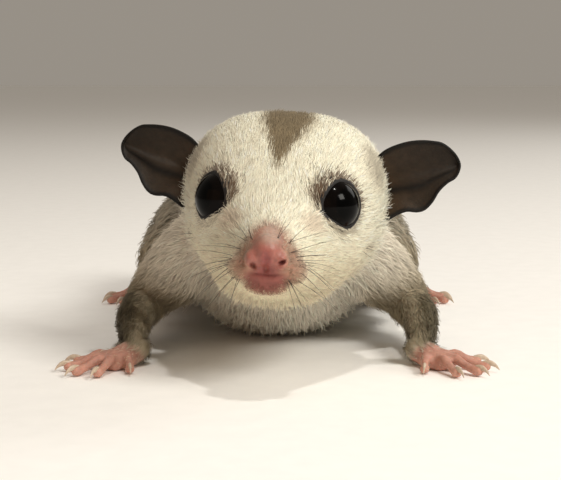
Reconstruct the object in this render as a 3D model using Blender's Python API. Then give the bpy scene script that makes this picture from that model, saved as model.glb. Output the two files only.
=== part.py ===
"""A young sugar glider, life size, crouched on a floor with its head raised.

Metres, +Z up. The animal faces -Y, so its left side lies at +X. Sizes are
named in millimetres and turned to metres where a shape is made. Places are
measured back from the eyes along Y and up from the floor, and the root empty
then moves the whole to stand centred on the origin. The head has a frame of
its own: its origin is midway between the eyes, -Y runs out of the face and +Z
to the crown. The solids reach to the tips of the coat.
"""

import math
import random

import bmesh
import bpy
from mathutils import Euler, Matrix, Vector

MM = 0.001
UP = Vector((0.0, 0.0, 1.0))

# Whole animal
GAP = 0.3
EYE_LINE_HEIGHT = 27.0
HEAD_TURN = (-5.0, 3.0, -7.0)
VOXEL = 0.5
SMOOTHING = 6
HEAD_FACETS = 0.041
TRUNK_FACETS = 0.0135
SURROUNDINGS = 300.0

# Head: place along Y, top, bottom, half width, height of the widest place
HEAD_SECTIONS = (
    (-12.8, -6.0, -10.3, 1.8, -8.4),
    (-12.0, -4.9, -11.5, 3.0, -8.6),
    (-10.5, -3.9, -12.6, 4.1, -8.9),
    (-8.5, -2.6, -13.4, 5.1, -8.9),
    (-6.0, -0.2, -13.9, 6.7, -8.2),
    (-3.5, 3.2, -14.2, 8.6, -6.0),
    (-1.0, 6.4, -14.4, 10.2, -4.3),
    (2.0, 9.3, -14.4, 12.3, -2.6),
    (5.5, 11.7, -14.2, 14.1, -1.2),
    (9.0, 13.0, -13.7, 14.8, -0.5),
    (13.0, 13.1, -12.7, 14.5, -0.3),
    (17.0, 11.9, -11.2, 13.0, -0.5),
    (20.5, 9.2, -9.4, 10.2, -0.8),
    (22.8, 4.8, -5.5, 5.4, -1.0),
)
# How square the crown is at places along Y, and the throat: 2 is round
CROWN_POWER = ((-3.0, 2.3), (6.0, 2.65))
THROAT_POWER = 2.2

# Muzzle: where it begins to bend to the left, and by how much, then centres and radii
MUZZLE_BEND_FROM = -4.0
MUZZLE_BEND = 0.07
NOSE_BULB = ((0.0, -12.0, -6.9), (2.6, 2.6, 2.3))
NOSTRIL_WING = ((1.85, -12.6, -8.2), (1.2, 1.5, 1.15))
WHISKER_PAD = ((3.3, -9.4, -9.6), (2.3, 3.0, 1.9))
LOWER_LIP = ((0.0, -9.5, -12.0), (3.2, 2.3, 1.1))
NOSE_BLOCK = ((-4.0, 4.0), (-20.0, -11.5), (-9.3, 2.0))
NOSTRIL = ((1.9, -13.9, -8.5), (0.75, 1.3, 0.38))
NOSTRIL_SLANT = 20.0
PHILTRUM = (((0.0, -14.2, -10.2), 0.32), ((0.0, -15.0, -8.0), 0.32))
MOUTH_FRONT = (-12.8, -10.7)
MOUTH_CORNER = (-3.8, -9.8)
MOUTH_SIDE_RISE = 0.8
MOUTH_REACH = 12.0

# Eyes and lids
EYE_AT = (8.0, 0.0, -0.35)
EYE_RADIUS = 3.95
EYE_OUTWARD = 50.0
EYE_UPWARD = 6.0
BROW_RADII = (5.25, 5.25, 3.4)
BROW_SETBACK = 0.5
LID_OPENING = 61.0
LID_CORNER = 13.0
LID_OUTER = 7.0
LID_CORNER_TURN = -12.0
LID_RADIUS = 0.6
LID_STEPS = 28

# Ears, in the plane of the spread ear: share of the length and reach to each margin
EAR_ROOT = (13.7, 9.6, 2.0)
EAR_TIP = (25.8, 11.2, 7.2)
EAR_UPPER_MARGIN = ((0.0, 4.3), (0.33, 5.0), (0.65, 4.5), (0.9, 2.7), (1.0, 0.9))
EAR_LOWER_MARGIN = ((0.0, 4.4), (0.28, 3.6), (0.42, 4.2), (0.67, 2.7), (0.9, 1.2), (1.0, 0.7))
EAR_FACING = (0.30, -0.94, 0.10)
EAR_CUP_DEPTH = 2.6
EAR_FOLD_HEIGHT = 0.7
EAR_FOLD_WIDTH = 0.16
EAR_THICKNESS = 0.8
EAR_ROWS = 7
EAR_ROWS_IN_HEAD = 2
EAR_COLUMNS = 9

# Neck and body: place along Y, top, bottom, half width
TRUNK_SECTIONS = (
    (8.0, 32.0, 17.0, 7.5),
    (14.0, 34.5, 12.0, 12.6),
    (21.0, 34.2, 6.5, 15.4),
    (28.0, 33.0, 2.0, 16.8),
    (36.0, 32.0, -0.8, 17.2),
    (46.0, 32.3, -1.4, 17.9),
    (56.0, 33.0, -1.5, 18.7),
    (66.0, 32.4, -1.4, 18.8),
    (75.0, 29.4, -1.0, 17.4),
    (83.0, 24.0, 0.0, 13.8),
    (89.0, 17.8, 1.4, 9.0),
    (93.0, 13.2, 3.2, 5.2),
)
TRUNK_POWER = 2.3
SECTION_POINTS = 36
NECK_FRONT = 17.5
NECK_BACK = 28.5
NECK_LEAN = -12.0

# Limbs of the left side: points along the middle, with the radius there
LIMBS = {
    "upper_arm": (((11.5, 25.5, 16.5), 7.2), ((16.5, 28.5, 12.5), 6.2), ((21.5, 32.0, 8.0), 4.3)),
    "forearm": (((21.8, 31.0, 7.0), 4.0), ((23.2, 22.5, 5.4), 3.3), ((22.4, 13.0, 3.3), 2.4)),
    "thigh": (((11.5, 78.0, 15.5), 9.5), ((16.5, 69.0, 13.8), 8.8), ((21.0, 61.5, 10.8), 5.8)),
    "shank": (((21.8, 60.5, 9.0), 5.0), ((22.0, 71.0, 6.6), 3.9), ((20.6, 80.5, 3.6), 2.8)),
}

# Hand and foot of the left side: where the heel of each stands, where it points, its pad
# and root, and its digits as turn, length, start along, start across and thickness
PAWS = {
    "hand": {
        "at": (22.4, 12.2, 0.0),
        "heading": -42.0,
        "pad": ((3.0, 0.0, 1.35), (3.5, 2.7, 1.7)),
        "root": (((-0.8, 0.0, 2.4), 2.0), ((2.0, 0.0, 1.6), 2.0)),
        "digits": (
            (-58.0, 3.6, 2.4, -2.0, 0.74),
            (-26.0, 5.4, 4.6, -1.6, 0.78),
            (-4.0, 6.2, 5.0, -0.5, 0.80),
            (18.0, 5.8, 4.7, 0.8, 0.78),
            (44.0, 4.8, 3.4, 1.9, 0.74),
        ),
        "clawless": (),
    },
    "foot": {
        "at": (21.2, 81.5, 0.0),
        "heading": -56.0,
        "pad": ((5.6, 0.0, 1.5), (6.6, 2.8, 1.9)),
        "root": (((-0.6, 0.0, 2.2), 2.2), ((3.0, 0.0, 1.6), 2.2)),
        "digits": (
            (-62.0, 4.2, 3.6, -1.9, 1.05),
            (-15.0, 6.4, 10.2, -1.2, 0.78),
            (-5.0, 6.8, 10.6, -0.2, 0.78),
            (13.0, 7.0, 10.2, 0.9, 0.82),
            (32.0, 5.6, 8.6, 1.9, 0.78),
        ),
        "clawless": (0,),
    },
}
# Along a digit: share of its length, height of its middle, share of its thickness
DIGIT_COURSE = ((-0.25, 1.5, 1.1), (0.3, 1.9, 0.95), (0.72, 1.25, 0.86), (1.0, 0.75, 1.08))
CLAW_COURSE = ((-0.1, 1.15, 1.0), (0.5, 1.3, 0.75), (1.0, 0.55, 0.22))
CLAW_LENGTH = 2.1
CLAW_RADIUS = 0.42

# Gliding membrane, gathered in a wavy fold along the flank: its middle line at X and Z
FOLD_SPAN = (33.0, 61.0)
FOLD_ROOT = (15.0, 16.0)
FOLD_BELLY = (21.2, 10.5)
FOLD_EDGE = (20.6, 3.6)
FOLD_THICKNESS = 2.4
FOLD_WAVES = 2.5
FOLD_WAVE_HEIGHT = 0.9
FOLD_STEPS = 12
FOLD_COLUMNS = 5

# Tail: its middle line, and the radii there of its core and of the brush of hair
TAIL_POINTS = ((0.0, 90.0, 9.6), (2.0, 106.0, 6.8), (5.6, 121.5, 6.2), (8.2, 137.0, 6.0),
               (8.8, 153.0, 5.6), (7.6, 169.0, 4.7), (4.8, 184.0, 2.6))
TAIL_CORE = (3.8, 3.5, 3.3, 3.2, 3.0, 2.4, 1.2)
TAIL_BRUSH = (4.4, 6.2, 6.8, 6.9, 6.4, 5.4, 2.2)
TAIL_STEPS = 5
TAIL_SIDES = 9
TAIL_SEAT_SHARE = 0.2

# Locks of the tail, in rows round it at shares of each length. The first row clears the rump.
# Along a lock: share of its length, of its width and thickness
LOCK_SEED = 7
LOCK_ROWS = ((0.28, 0.53, 0.78), (0.14, 0.46, 0.78), (0.14, 0.46, 0.78), (0.14, 0.46, 0.78))
LOCKS_PER_ROW = 6
LOCK_LENGTH = 13.0
LOCK_WIDTH = 4.9
LOCK_THICKNESS = 1.0
LOCK_BEND = 16.0
LOCK_ROOT_DEPTH = 0.75
LOCK_SWAY = 0.07
LOCK_COURSE = ((-0.1, 0.42, 1.0), (0.42, 1.0, 1.0), (0.76, 0.7, 0.7))

FINISHES = {
    "cream_fur": ((0.80, 0.74, 0.60), 0.9),
    "grey_fur": ((0.36, 0.32, 0.27), 0.9),
    "dark_fur": ((0.16, 0.13, 0.11), 0.9),
    "pink_skin": ((0.72, 0.38, 0.36), 0.6),
    "ear_skin": ((0.09, 0.06, 0.05), 0.6),
    "eye": ((0.01, 0.01, 0.012), 0.1),
}
NODE_FINISHES = {
    "cream_fur": ("head", "lower_jaw", "neck"),
    "grey_fur": ("torso", "upper_arm", "forearm", "thigh", "shank", "patagium", "tail_1", "tail_2"),
    "dark_fur": ("tail_3", "tail_4"),
    "pink_skin": ("nose", "hand", "foot"),
    "ear_skin": ("ear",),
    "eye": ("eye",),
}


def clear_scene():
    for item in list(bpy.data.objects):
        bpy.data.objects.remove(item)


def material(name, colour, roughness):
    made = bpy.data.materials.new(name)
    made.use_nodes = True
    shader = made.node_tree.nodes["Principled BSDF"]
    shader.inputs["Base Color"].default_value = (*colour, 1.0)
    shader.inputs["Roughness"].default_value = roughness
    shader.inputs["Metallic"].default_value = 0.0
    return made


def add_object(name, bm):
    """Turns a closed bmesh into an object whose faces point out."""
    bmesh.ops.recalc_face_normals(bm, faces=bm.faces)
    mesh = bpy.data.meshes.new(name)
    bm.to_mesh(mesh)
    bm.free()
    made = bpy.data.objects.new(name, mesh)
    bpy.context.scene.collection.objects.link(made)
    return made


def between(values, share):
    """A value on the smooth curve through values, at a share from 0 to 1 of its spans."""
    spans = len(values) - 1
    place = min(max(share, 0.0), 1.0) * spans
    i = min(int(place), spans - 1)
    t = place - i
    a, b, c, d = values[max(i - 1, 0)], values[i], values[i + 1], values[min(i + 2, spans)]
    curve = (b * 3 - a - c * 3 + d) * t + (a * 2 - b * 5 + c * 4 - d)
    return (b * 2 + (c - a) * t + curve * t * t) * 0.5


def on_table(rows, share):
    """A value read from rows of (share, value), eased between them."""
    for (low, first), (high, last) in zip(rows, rows[1:]):
        if share <= high:
            t = max(share - low, 0.0) / (high - low)
            return first + (last - first) * t * t * (3 - 2 * t)
    return rows[-1][1]


def rounded(value, power):
    """A sine or cosine bent towards that of a superellipse."""
    return math.copysign(abs(value) ** (2 / power), value)


def add_ring(bm, centre, side, up, width, rise, drop, points, powers=(2.0, 2.0)):
    """A closed ring about centre, with its own reach up, down and to the sides."""
    made = bmesh.ops.create_circle(bm, segments=points, radius=1.0)["verts"]
    for i, vert in enumerate(made):
        turn = math.tau * i / points
        reach, power = (rise, powers[0]) if math.sin(turn) >= 0 else (drop, powers[1])
        across = rounded(math.cos(turn), power) * width
        along = rounded(math.sin(turn), power) * reach
        vert.co = (centre + side * across + up * along) * MM
    return made


def skin_rings(bm, rings, tip=None):
    """Bridges rings in order and caps both ends, the last one with a point if a tip is given."""
    for pair in zip(rings, rings[1:]):
        edges = set()
        for loop in pair:
            inside = set(loop)
            edges |= {e for v in loop for e in v.link_edges if set(e.verts) <= inside}
        bmesh.ops.bridge_loops(bm, edges=list(edges))
    bm.faces.new(rings[0])
    cap = bm.faces.new(rings[-1])
    if tip is not None:
        middle = bmesh.ops.poke(bm, faces=[cap])["verts"][0]
        middle.co = tip * MM


def tube(name, stations, points=11, spans=2, grow=0.0, caps=(0.6, 0.92), rise=1.0, width=1.0):
    """A round-ended limb through (point, radius) stations, set out by grow."""
    samples = spans * (len(stations) - 1)
    places = [between([Vector(p) for p, _ in stations], i / samples) for i in range(samples + 1)]
    sizes = [between([r + grow for _, r in stations], i / samples) for i in range(samples + 1)]
    bm = bmesh.new()
    rings = []
    for i, (centre, size) in enumerate(zip(places, sizes)):
        tangent = (places[min(i + 1, samples)] - places[max(i - 1, 0)]).normalized()
        side = tangent.cross(UP).normalized()
        up = side.cross(tangent).normalized()
        before = [-c for c in reversed(caps)] if i == 0 else []
        after = list(caps) if i == samples else []
        for offset in (*before, 0.0, *after):
            radius = size * math.sqrt(1 - offset * offset)
            middle = centre + tangent * offset * size
            rings.append(add_ring(bm, middle, side, up, radius * width, radius * rise, radius * rise, points))
    skin_rings(bm, rings)
    return add_object(name, bm)


def ellipsoid(name, centre, radii, points=20, rings=12, turn=None):
    bm = bmesh.new()
    bmesh.ops.create_uvsphere(bm, u_segments=points, v_segments=rings, radius=1.0)
    spin = turn or Matrix.Identity(3)
    for vert in bm.verts:
        stretched = Vector(c * r for c, r in zip(vert.co, radii))
        vert.co = (Vector(centre) + spin @ stretched) * MM
    return add_object(name, bm)


def block(name, spans, frame=None, grow=0.0):
    """A block over (low, high) spans along X, Y and Z of a frame."""
    bm = bmesh.new()
    bmesh.ops.create_cube(bm, size=1.0)
    for vert in bm.verts:
        corner = [low - grow if c < 0 else high + grow for c, (low, high) in zip(vert.co, spans)]
        vert.co = Vector(corner) * MM
    made = add_object(name, bm)
    if frame is not None:
        place([made], frame)
    return made


def place(items, frame):
    for item in items:
        item.data.transform(frame)


def sided(point, side):
    """A point given for the left, on the side asked for."""
    return (side * point[0], *point[1:])


def flip_x(source, name):
    """A copy of source on the other side of the middle plane."""
    bm = bmesh.new()
    bm.from_mesh(source.data)
    bmesh.ops.scale(bm, vec=(-1.0, 1.0, 1.0), verts=bm.verts)
    return add_object(name, bm)


def drop(items):
    for item in items:
        bpy.data.objects.remove(item)


def bake(item):
    """Swaps the object's mesh for the one that its modifiers make."""
    graph = bpy.context.evaluated_depsgraph_get()
    graph.update()
    mesh = bpy.data.meshes.new_from_object(item.evaluated_get(graph))
    item.modifiers.clear()
    item.data = mesh
    return item


def copy_of(item, name, grow=0.0):
    """A copy of item, set out along its normals by grow."""
    made = bpy.data.objects.new(name, item.data.copy())
    bpy.context.scene.collection.objects.link(made)
    if grow:
        swell = made.modifiers.new("swell", "DISPLACE")
        swell.strength = grow * MM
        swell.mid_level = 0.0
        bake(made)
    return made


def combine(item, others, operation, keep=False):
    """Joins or cuts item with other closed solids, which are then removed."""
    group = bpy.data.collections.new("pieces")
    bpy.context.scene.collection.children.link(group)
    for other in others:
        group.objects.link(other)
    change = item.modifiers.new("combine", "BOOLEAN")
    change.operation = operation
    change.operand_type = "COLLECTION"
    change.collection = group
    change.solver = "EXACT"
    bake(item)
    bpy.data.collections.remove(group)
    if not keep:
        drop(others)
    return keep_largest(item)


def shell_of(start):
    """All vertices joined to start by edges."""
    shell, queue = {start}, [start]
    while queue:
        for edge in queue.pop().link_edges:
            for vert in edge.verts:
                if vert not in shell:
                    shell.add(vert)
                    queue.append(vert)
    return shell


def shell_volume(shell):
    faces = {f for v in shell for f in v.link_faces}
    return abs(sum(f.verts[0].co.dot(f.verts[1].co.cross(f.verts[2].co)) for f in faces))


def keep_largest(item):
    """Keeps only the largest closed surface of a mesh, in triangles."""
    bm = bmesh.new()
    bm.from_mesh(item.data)
    bmesh.ops.triangulate(bm, faces=bm.faces)
    left, shells = set(bm.verts), []
    while left:
        shell = shell_of(next(iter(left)))
        shells.append(shell)
        left -= shell
    if len(shells) > 1:
        kept = max(shells, key=shell_volume)
        bmesh.ops.delete(bm, geom=[v for v in bm.verts if v not in kept], context="VERTS")
    bm.to_mesh(item.data)
    bm.free()
    return item


def head_frame():
    """From the head's own frame to the world's."""
    turn = Euler([math.radians(a) for a in HEAD_TURN], "XYZ").to_matrix().to_4x4()
    return Matrix.Translation(UP * EYE_LINE_HEIGHT * MM) @ turn


def eye_axis(side):
    """The way that an eye looks, in the head's frame."""
    out, rise = math.radians(EYE_OUTWARD), math.radians(EYE_UPWARD)
    return Vector((side * math.sin(out) * math.cos(rise), -math.cos(out) * math.cos(rise), math.sin(rise)))


def loft_sections(name, rows):
    """A closed form through upright sections: place, top, bottom, half width, widest height, powers."""
    bm = bmesh.new()
    side = Vector((1.0, 0.0, 0.0))
    rings = [add_ring(bm, Vector((0.0, y, widest)), side, UP, half, top - widest, widest - bottom,
                      SECTION_POINTS, powers) for y, top, bottom, half, widest, powers in rows]
    skin_rings(bm, rings)
    return add_object(name, bm)


def make_brow(side):
    """The low mound that an eye stands in."""
    axis = eye_axis(side)
    centre = Vector(sided(EYE_AT, side)) - axis * BROW_SETBACK
    return ellipsoid("brow", centre, BROW_RADII, turn=axis.to_track_quat("Z", "Y").to_matrix())


def make_lid(side):
    """The rim of the lids: a thick line about the eye, drawn out to the inner corner."""
    axis = eye_axis(side)
    inward = axis.cross(UP).normalized() * side
    rise = inward.cross(axis).normalized() * side
    bm = bmesh.new()
    rings = []
    for i in range(LID_STEPS):
        turn = math.tau * i / LID_STEPS
        towards_corner = max(0.0, math.cos(turn - math.radians(LID_CORNER_TURN)))
        outwards = max(0.0, -math.cos(turn))
        opening = math.radians(LID_OPENING + LID_CORNER * towards_corner ** 6 - LID_OUTER * outwards ** 2)
        way = inward * math.cos(turn) + rise * math.sin(turn)
        along = (rise * math.cos(turn) - inward * math.sin(turn)).normalized()
        out = axis * math.cos(opening) + way * math.sin(opening)
        middle = Vector(sided(EYE_AT, side)) + out * EYE_RADIUS
        rings.append(add_ring(bm, middle, out, along.cross(out), LID_RADIUS, LID_RADIUS, LID_RADIUS, 8))
    for first, second in zip(rings, rings[1:] + rings[:1]):
        for i, vert in enumerate(first):
            j = (i + 1) % len(first)
            bm.faces.new((vert, first[j], second[j], second[i]))
    return add_object("lid", bm)


def onto_head(items):
    """Bends the muzzle to the left and takes items from the head's frame to the world's."""
    for item in items:
        for vert in item.data.vertices:
            vert.co.x += MUZZLE_BEND * max(MUZZLE_BEND_FROM * MM - vert.co.y, 0.0)
    place(items, head_frame())


def make_surface():
    """One smooth surface over the masses of the head, neck and body."""
    rows = [(*row, (on_table(CROWN_POWER, row[0]), THROAT_POWER)) for row in HEAD_SECTIONS]
    masses = [loft_sections("skull", rows)]
    masses += [ellipsoid("muzzle", *mass) for mass in (NOSE_BULB, LOWER_LIP)]
    for side in (1, -1):
        for centre, radii in (NOSTRIL_WING, WHISKER_PAD):
            masses.append(ellipsoid("muzzle", sided(centre, side), radii))
        masses += [make_brow(side), make_lid(side)]
    onto_head(masses)
    rows = [(y, top, bottom, half, (top + bottom) / 2, (TRUNK_POWER, TRUNK_POWER))
            for y, top, bottom, half in TRUNK_SECTIONS]
    masses.append(loft_sections("trunk", rows))
    bm = bmesh.new()
    for mass in masses:
        bm.from_mesh(mass.data)
    drop(masses)
    surface = add_object("surface", bm)
    remesh = surface.modifiers.new("skin", "REMESH")
    remesh.mode = "VOXEL"
    remesh.voxel_size = VOXEL * MM
    smooth = surface.modifiers.new("smooth", "SMOOTH")
    smooth.iterations = SMOOTHING
    smooth.factor = 0.5
    return bake(surface)


def thinned(source, name, share):
    made = copy_of(source, name)
    decimate = made.modifiers.new("thin", "DECIMATE")
    decimate.ratio = share
    return bake(made)


def across_neck(name, place_along, span):
    """All that lies within a span of distances back from a plane across the neck."""
    lean = Matrix.Rotation(math.radians(NECK_LEAN), 4, "X")
    frame = Matrix.Translation(Vector((0.0, place_along, EYE_LINE_HEIGHT)) * MM) @ lean
    wide = (-SURROUNDINGS, SURROUNDINGS)
    return block(name, (wide, span, wide), frame)


def below_mouth(name, raised=0.0):
    """All that lies under the line of the mouth, from the lips back to its corners."""
    (front_y, front_z), (back_y, back_z) = MOUTH_FRONT, MOUTH_CORNER
    slope = (back_z - front_z) / (back_y - front_y)
    reach = front_y - MOUTH_REACH
    bm = bmesh.new()
    rings = []
    for share in (-1.0, -0.5, 0.0, 0.5, 1.0):
        lift = raised + MOUTH_SIDE_RISE * share * share
        near = front_z + (reach - front_y) * slope + lift
        low = front_z - MOUTH_REACH
        outline = ((reach, near), (back_y + raised, back_z + lift), (back_y + raised, low), (reach, low))
        corners = [bm.verts.new(Vector((share * MOUTH_REACH, y, z)) * MM) for y, z in outline]
        for first, second in zip(corners, corners[1:] + corners[:1]):
            bm.edges.new((first, second))
        rings.append(corners)
    skin_rings(bm, rings)
    made = add_object(name, bm)
    onto_head([made])
    return made


def make_head(surface):
    """Head, nose and lower jaw, parted along the mouth and behind the nose."""
    nose_region, nose_gap = block("nose_region", NOSE_BLOCK), block("nose_gap", NOSE_BLOCK, grow=GAP)
    onto_head([nose_region, nose_gap])
    head = combine(thinned(surface, "head", HEAD_FACETS),
                   [across_neck("behind", NECK_FRONT, (0.0, SURROUNDINGS))], "DIFFERENCE")
    nose = combine(copy_of(head, "nose"), [nose_region], "INTERSECT")
    jaw = combine(copy_of(head, "lower_jaw"), [below_mouth("mouth")], "INTERSECT")
    parting = [below_mouth("mouth_gap", GAP), nose_gap]
    openings = [tube("philtrum", PHILTRUM, 6, 1)]
    sockets = []
    for side in (1, -1):
        sockets.append(ellipsoid("socket", sided(EYE_AT, side), (EYE_RADIUS + GAP,) * 3, 20, 12))
        slant = Matrix.Rotation(math.radians(side * NOSTRIL_SLANT), 3, "Y")
        openings.append(ellipsoid("nostril", sided(NOSTRIL[0], side), NOSTRIL[1], 12, 8, slant))
    onto_head([*sockets, *openings])
    combine(head, [*sockets, *parting], "DIFFERENCE")
    combine(nose, openings, "DIFFERENCE")
    return [head, nose, jaw]


def make_eye(name, side):
    eye = ellipsoid(name, sided(EYE_AT, side), (EYE_RADIUS,) * 3, 16, 9)
    place([eye], head_frame())
    return eye


def ear_point(side, along, across):
    """A place on the ear's middle surface: along from root to tip, across from low to high."""
    root, tip = Vector(EAR_ROOT), Vector(EAR_TIP)
    way = (tip - root).normalized()
    facing = Vector(EAR_FACING)
    facing = (facing - way * facing.dot(way)).normalized()
    rise = facing.cross(way).normalized()
    reach = on_table(EAR_UPPER_MARGIN if across >= 0 else EAR_LOWER_MARGIN, along)
    depth = EAR_CUP_DEPTH * (1 - across * across) * (0.25 + 0.75 * (1 - along) ** 2)
    crease = 0.1 - 0.35 * along
    fold = math.exp(-((across - crease) / EAR_FOLD_WIDTH) ** 2) * math.sin(math.pi * along)
    spot = root + (tip - root) * along + rise * (across * reach) - facing * (depth - EAR_FOLD_HEIGHT * fold)
    return Vector(sided(spot, side))


def make_ear(name, side, head):
    """A cupped ear of one thickness, seated on the head."""
    bm = bmesh.new()
    rows = []
    for row in range(-EAR_ROWS_IN_HEAD, EAR_ROWS + 1):
        spread = [-1 + 2 * column / EAR_COLUMNS for column in range(EAR_COLUMNS + 1)]
        rows.append([bm.verts.new(ear_point(side, row / EAR_ROWS, across) * MM) for across in spread])
    for low, high in zip(rows, rows[1:]):
        for i in range(EAR_COLUMNS):
            bm.faces.new((low[i], low[i + 1], high[i + 1], high[i]))
    bmesh.ops.triangulate(bm, faces=bm.faces)
    ear = add_object(name, bm)
    wall = ear.modifiers.new("wall", "SOLIDIFY")
    wall.thickness = EAR_THICKNESS * MM
    wall.offset = 0.0
    bake(ear)
    place([ear], head_frame())
    return combine(ear, [copy_of(head, "seat", GAP)], "DIFFERENCE")


def digit_point(digit, out, height):
    """A place on a digit's course, a distance out from its root and above the floor."""
    turn, _, start, across, _ = digit
    return (start + out * math.cos(math.radians(turn)), across + out * math.sin(math.radians(turn)), height)


def make_paw(name, sizes, grow=0.0):
    """A palm or sole with its digits and claws, joined in one solid and laid on the floor."""
    pieces = [tube("root", sizes["root"], 9, 1, grow, (0.75,))]
    for i, digit in enumerate(sizes["digits"]):
        length, thick = digit[1], digit[4]
        course = [(digit_point(digit, length * s, z), thick * w) for s, z, w in DIGIT_COURSE]
        pieces.append(tube("digit", course, 5, 1, grow, (0.75,)))
        if not grow and i not in sizes["clawless"]:
            course = [(digit_point(digit, length + CLAW_LENGTH * s, z), CLAW_RADIUS * w) for s, z, w in CLAW_COURSE]
            pieces.append(tube("claw", course, 4, 1, 0.0, (), 1.25, 0.8))
    centre, radii = sizes["pad"]
    paw = ellipsoid(name, centre, [r + grow for r in radii], 12, 7)
    turn = Matrix.Rotation(math.radians(sizes["heading"]), 4, "Z")
    place([paw, *pieces], Matrix.Translation(Vector(sizes["at"]) * MM) @ turn)
    return combine(paw, pieces, "UNION")


def make_fold(name):
    """The gathered gliding membrane: a thick, wavy curtain down the flank."""
    bm = bmesh.new()
    rings = []
    for step in range(FOLD_STEPS + 1):
        share = step / FOLD_STEPS
        y = FOLD_SPAN[0] + (FOLD_SPAN[1] - FOLD_SPAN[0]) * share
        wave = FOLD_WAVE_HEIGHT * math.sin(math.tau * FOLD_WAVES * share)
        hang = math.sin(math.pi * min(max(share, 0.04), 0.96)) ** 0.5
        low = FOLD_BELLY[1] + (FOLD_EDGE[1] - FOLD_BELLY[1]) * hang
        middle = [Vector((FOLD_ROOT[0], y, FOLD_ROOT[1])), Vector((FOLD_BELLY[0] + wave / 2, y, FOLD_BELLY[1])),
                  Vector((FOLD_EDGE[0] + wave, y, low))]
        line = [between(middle, i / FOLD_COLUMNS) for i in range(FOLD_COLUMNS + 1)]
        outer, inner = [], []
        for i, spot in enumerate(line):
            down = (line[min(i + 1, FOLD_COLUMNS)] - line[max(i - 1, 0)]).normalized()
            half = FOLD_THICKNESS / (4 if i == FOLD_COLUMNS else 2)
            out = Vector((-down.z, 0.0, down.x)) * half
            outer.append(spot + out)
            inner.append(spot - out)
        verts = [bm.verts.new(p * MM) for p in (*outer, *reversed(inner))]
        for first, second in zip(verts, verts[1:] + verts[:1]):
            bm.edges.new((first, second))
        rings.append(verts)
    skin_rings(bm, rings)
    return add_object(name, bm)


def tail_place(share):
    """The tail's middle line at a share of its length, past its end too, and the way it runs."""
    points = [Vector(p) for p in TAIL_POINTS]
    ahead = between(points, share + 0.01)
    behind = between(points, min(share, 1.0) - 0.01)
    tangent = (ahead - behind).normalized()
    return between(points, share) + tangent * (max(share - 1.0, 0.0) * tail_run()), tangent


def tail_run():
    """The length of the tail's middle line."""
    points = [between([Vector(p) for p in TAIL_POINTS], i / 50) for i in range(51)]
    return sum((b - a).length for a, b in zip(points, points[1:]))


def make_tail_core(name, first, last, grow=0.0):
    """The core of one length of the tail, from one share of it to another."""
    bm = bmesh.new()
    rings = []
    for i in range(TAIL_STEPS + 1):
        share = first + (last - first) * i / TAIL_STEPS
        middle, tangent = tail_place(share)
        side = tangent.cross(UP).normalized()
        size = between(TAIL_CORE, share) + grow
        rings.append(add_ring(bm, middle, side, side.cross(tangent), size, size, size, TAIL_SIDES))
    skin_rings(bm, rings, middle + tangent * size * 2 if last == 1.0 else None)
    return add_object(name, bm)


def make_lock(share, turn, draw):
    """A flat, tapered lock that leaves the core, bends back along the tail and ends in a point."""
    run = tail_run()
    length = LOCK_LENGTH * draw.uniform(0.92, 1.08)
    sway = LOCK_SWAY * draw.uniform(-1.0, 1.0)
    root = between(TAIL_CORE, share) * LOCK_ROOT_DEPTH
    slimness = between(TAIL_BRUSH, share) / max(TAIL_BRUSH)
    chord = math.asin((between(TAIL_BRUSH, share + length / run) - root) / length)

    def spot(s):
        middle, tangent = tail_place(share + s * length * math.cos(chord) / run)
        side = tangent.cross(UP).normalized()
        away = side * math.cos(turn) + side.cross(tangent) * math.sin(turn)
        flat = tangent.cross(away)
        height = root + length * s * math.sin(chord + math.radians(LOCK_BEND) * (1 - s))
        return middle + away * height + flat * (sway * length * s * s), flat, away

    bm = bmesh.new()
    rings = []
    for s, width, thick in LOCK_COURSE:
        middle, flat, away = spot(s)
        half, deep = LOCK_WIDTH / 2 * width * slimness, LOCK_THICKNESS / 2 * thick
        rings.append(add_ring(bm, middle, flat, away, half, deep, deep, 4))
    skin_rings(bm, rings, spot(1.0)[0])
    return add_object("lock", bm)


def make_tail():
    """The tail in lengths that meet a gap apart, each with its rows of overlapping locks."""
    draw = random.Random(LOCK_SEED)
    half_gap = GAP / 2 / tail_run()
    count = len(LOCK_ROWS)
    nodes = []
    for i, rows in enumerate(LOCK_ROWS):
        first = i / count + (half_gap if i else 0.0)
        last = (i + 1) / count - (half_gap if i < count - 1 else 0.0)
        locks = []
        for row, place_along in enumerate(rows):
            stagger = (row + i * len(rows)) % 2 / 2
            turns = [math.tau * (k + stagger) / LOCKS_PER_ROW for k in range(LOCKS_PER_ROW)]
            locks += [make_lock((i + place_along) / count, turn, draw) for turn in turns]
        nodes.append(combine(make_tail_core(f"tail_{i + 1}", first, last), locks, "UNION"))
    return nodes


def make_trunk(surface):
    """Neck and torso, parted across the neck and not yet cut for the limbs."""
    torso = thinned(surface, "torso", TRUNK_FACETS)
    neck = copy_of(torso, "neck")
    combine(torso, [across_neck("ahead", NECK_BACK, (-SURROUNDINGS, 0.0))], "DIFFERENCE")
    ends = [across_neck("front", NECK_FRONT, (-SURROUNDINGS, GAP)),
            across_neck("back", NECK_BACK, (-GAP, SURROUNDINGS))]
    combine(neck, ends, "DIFFERENCE")
    return neck, torso


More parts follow.
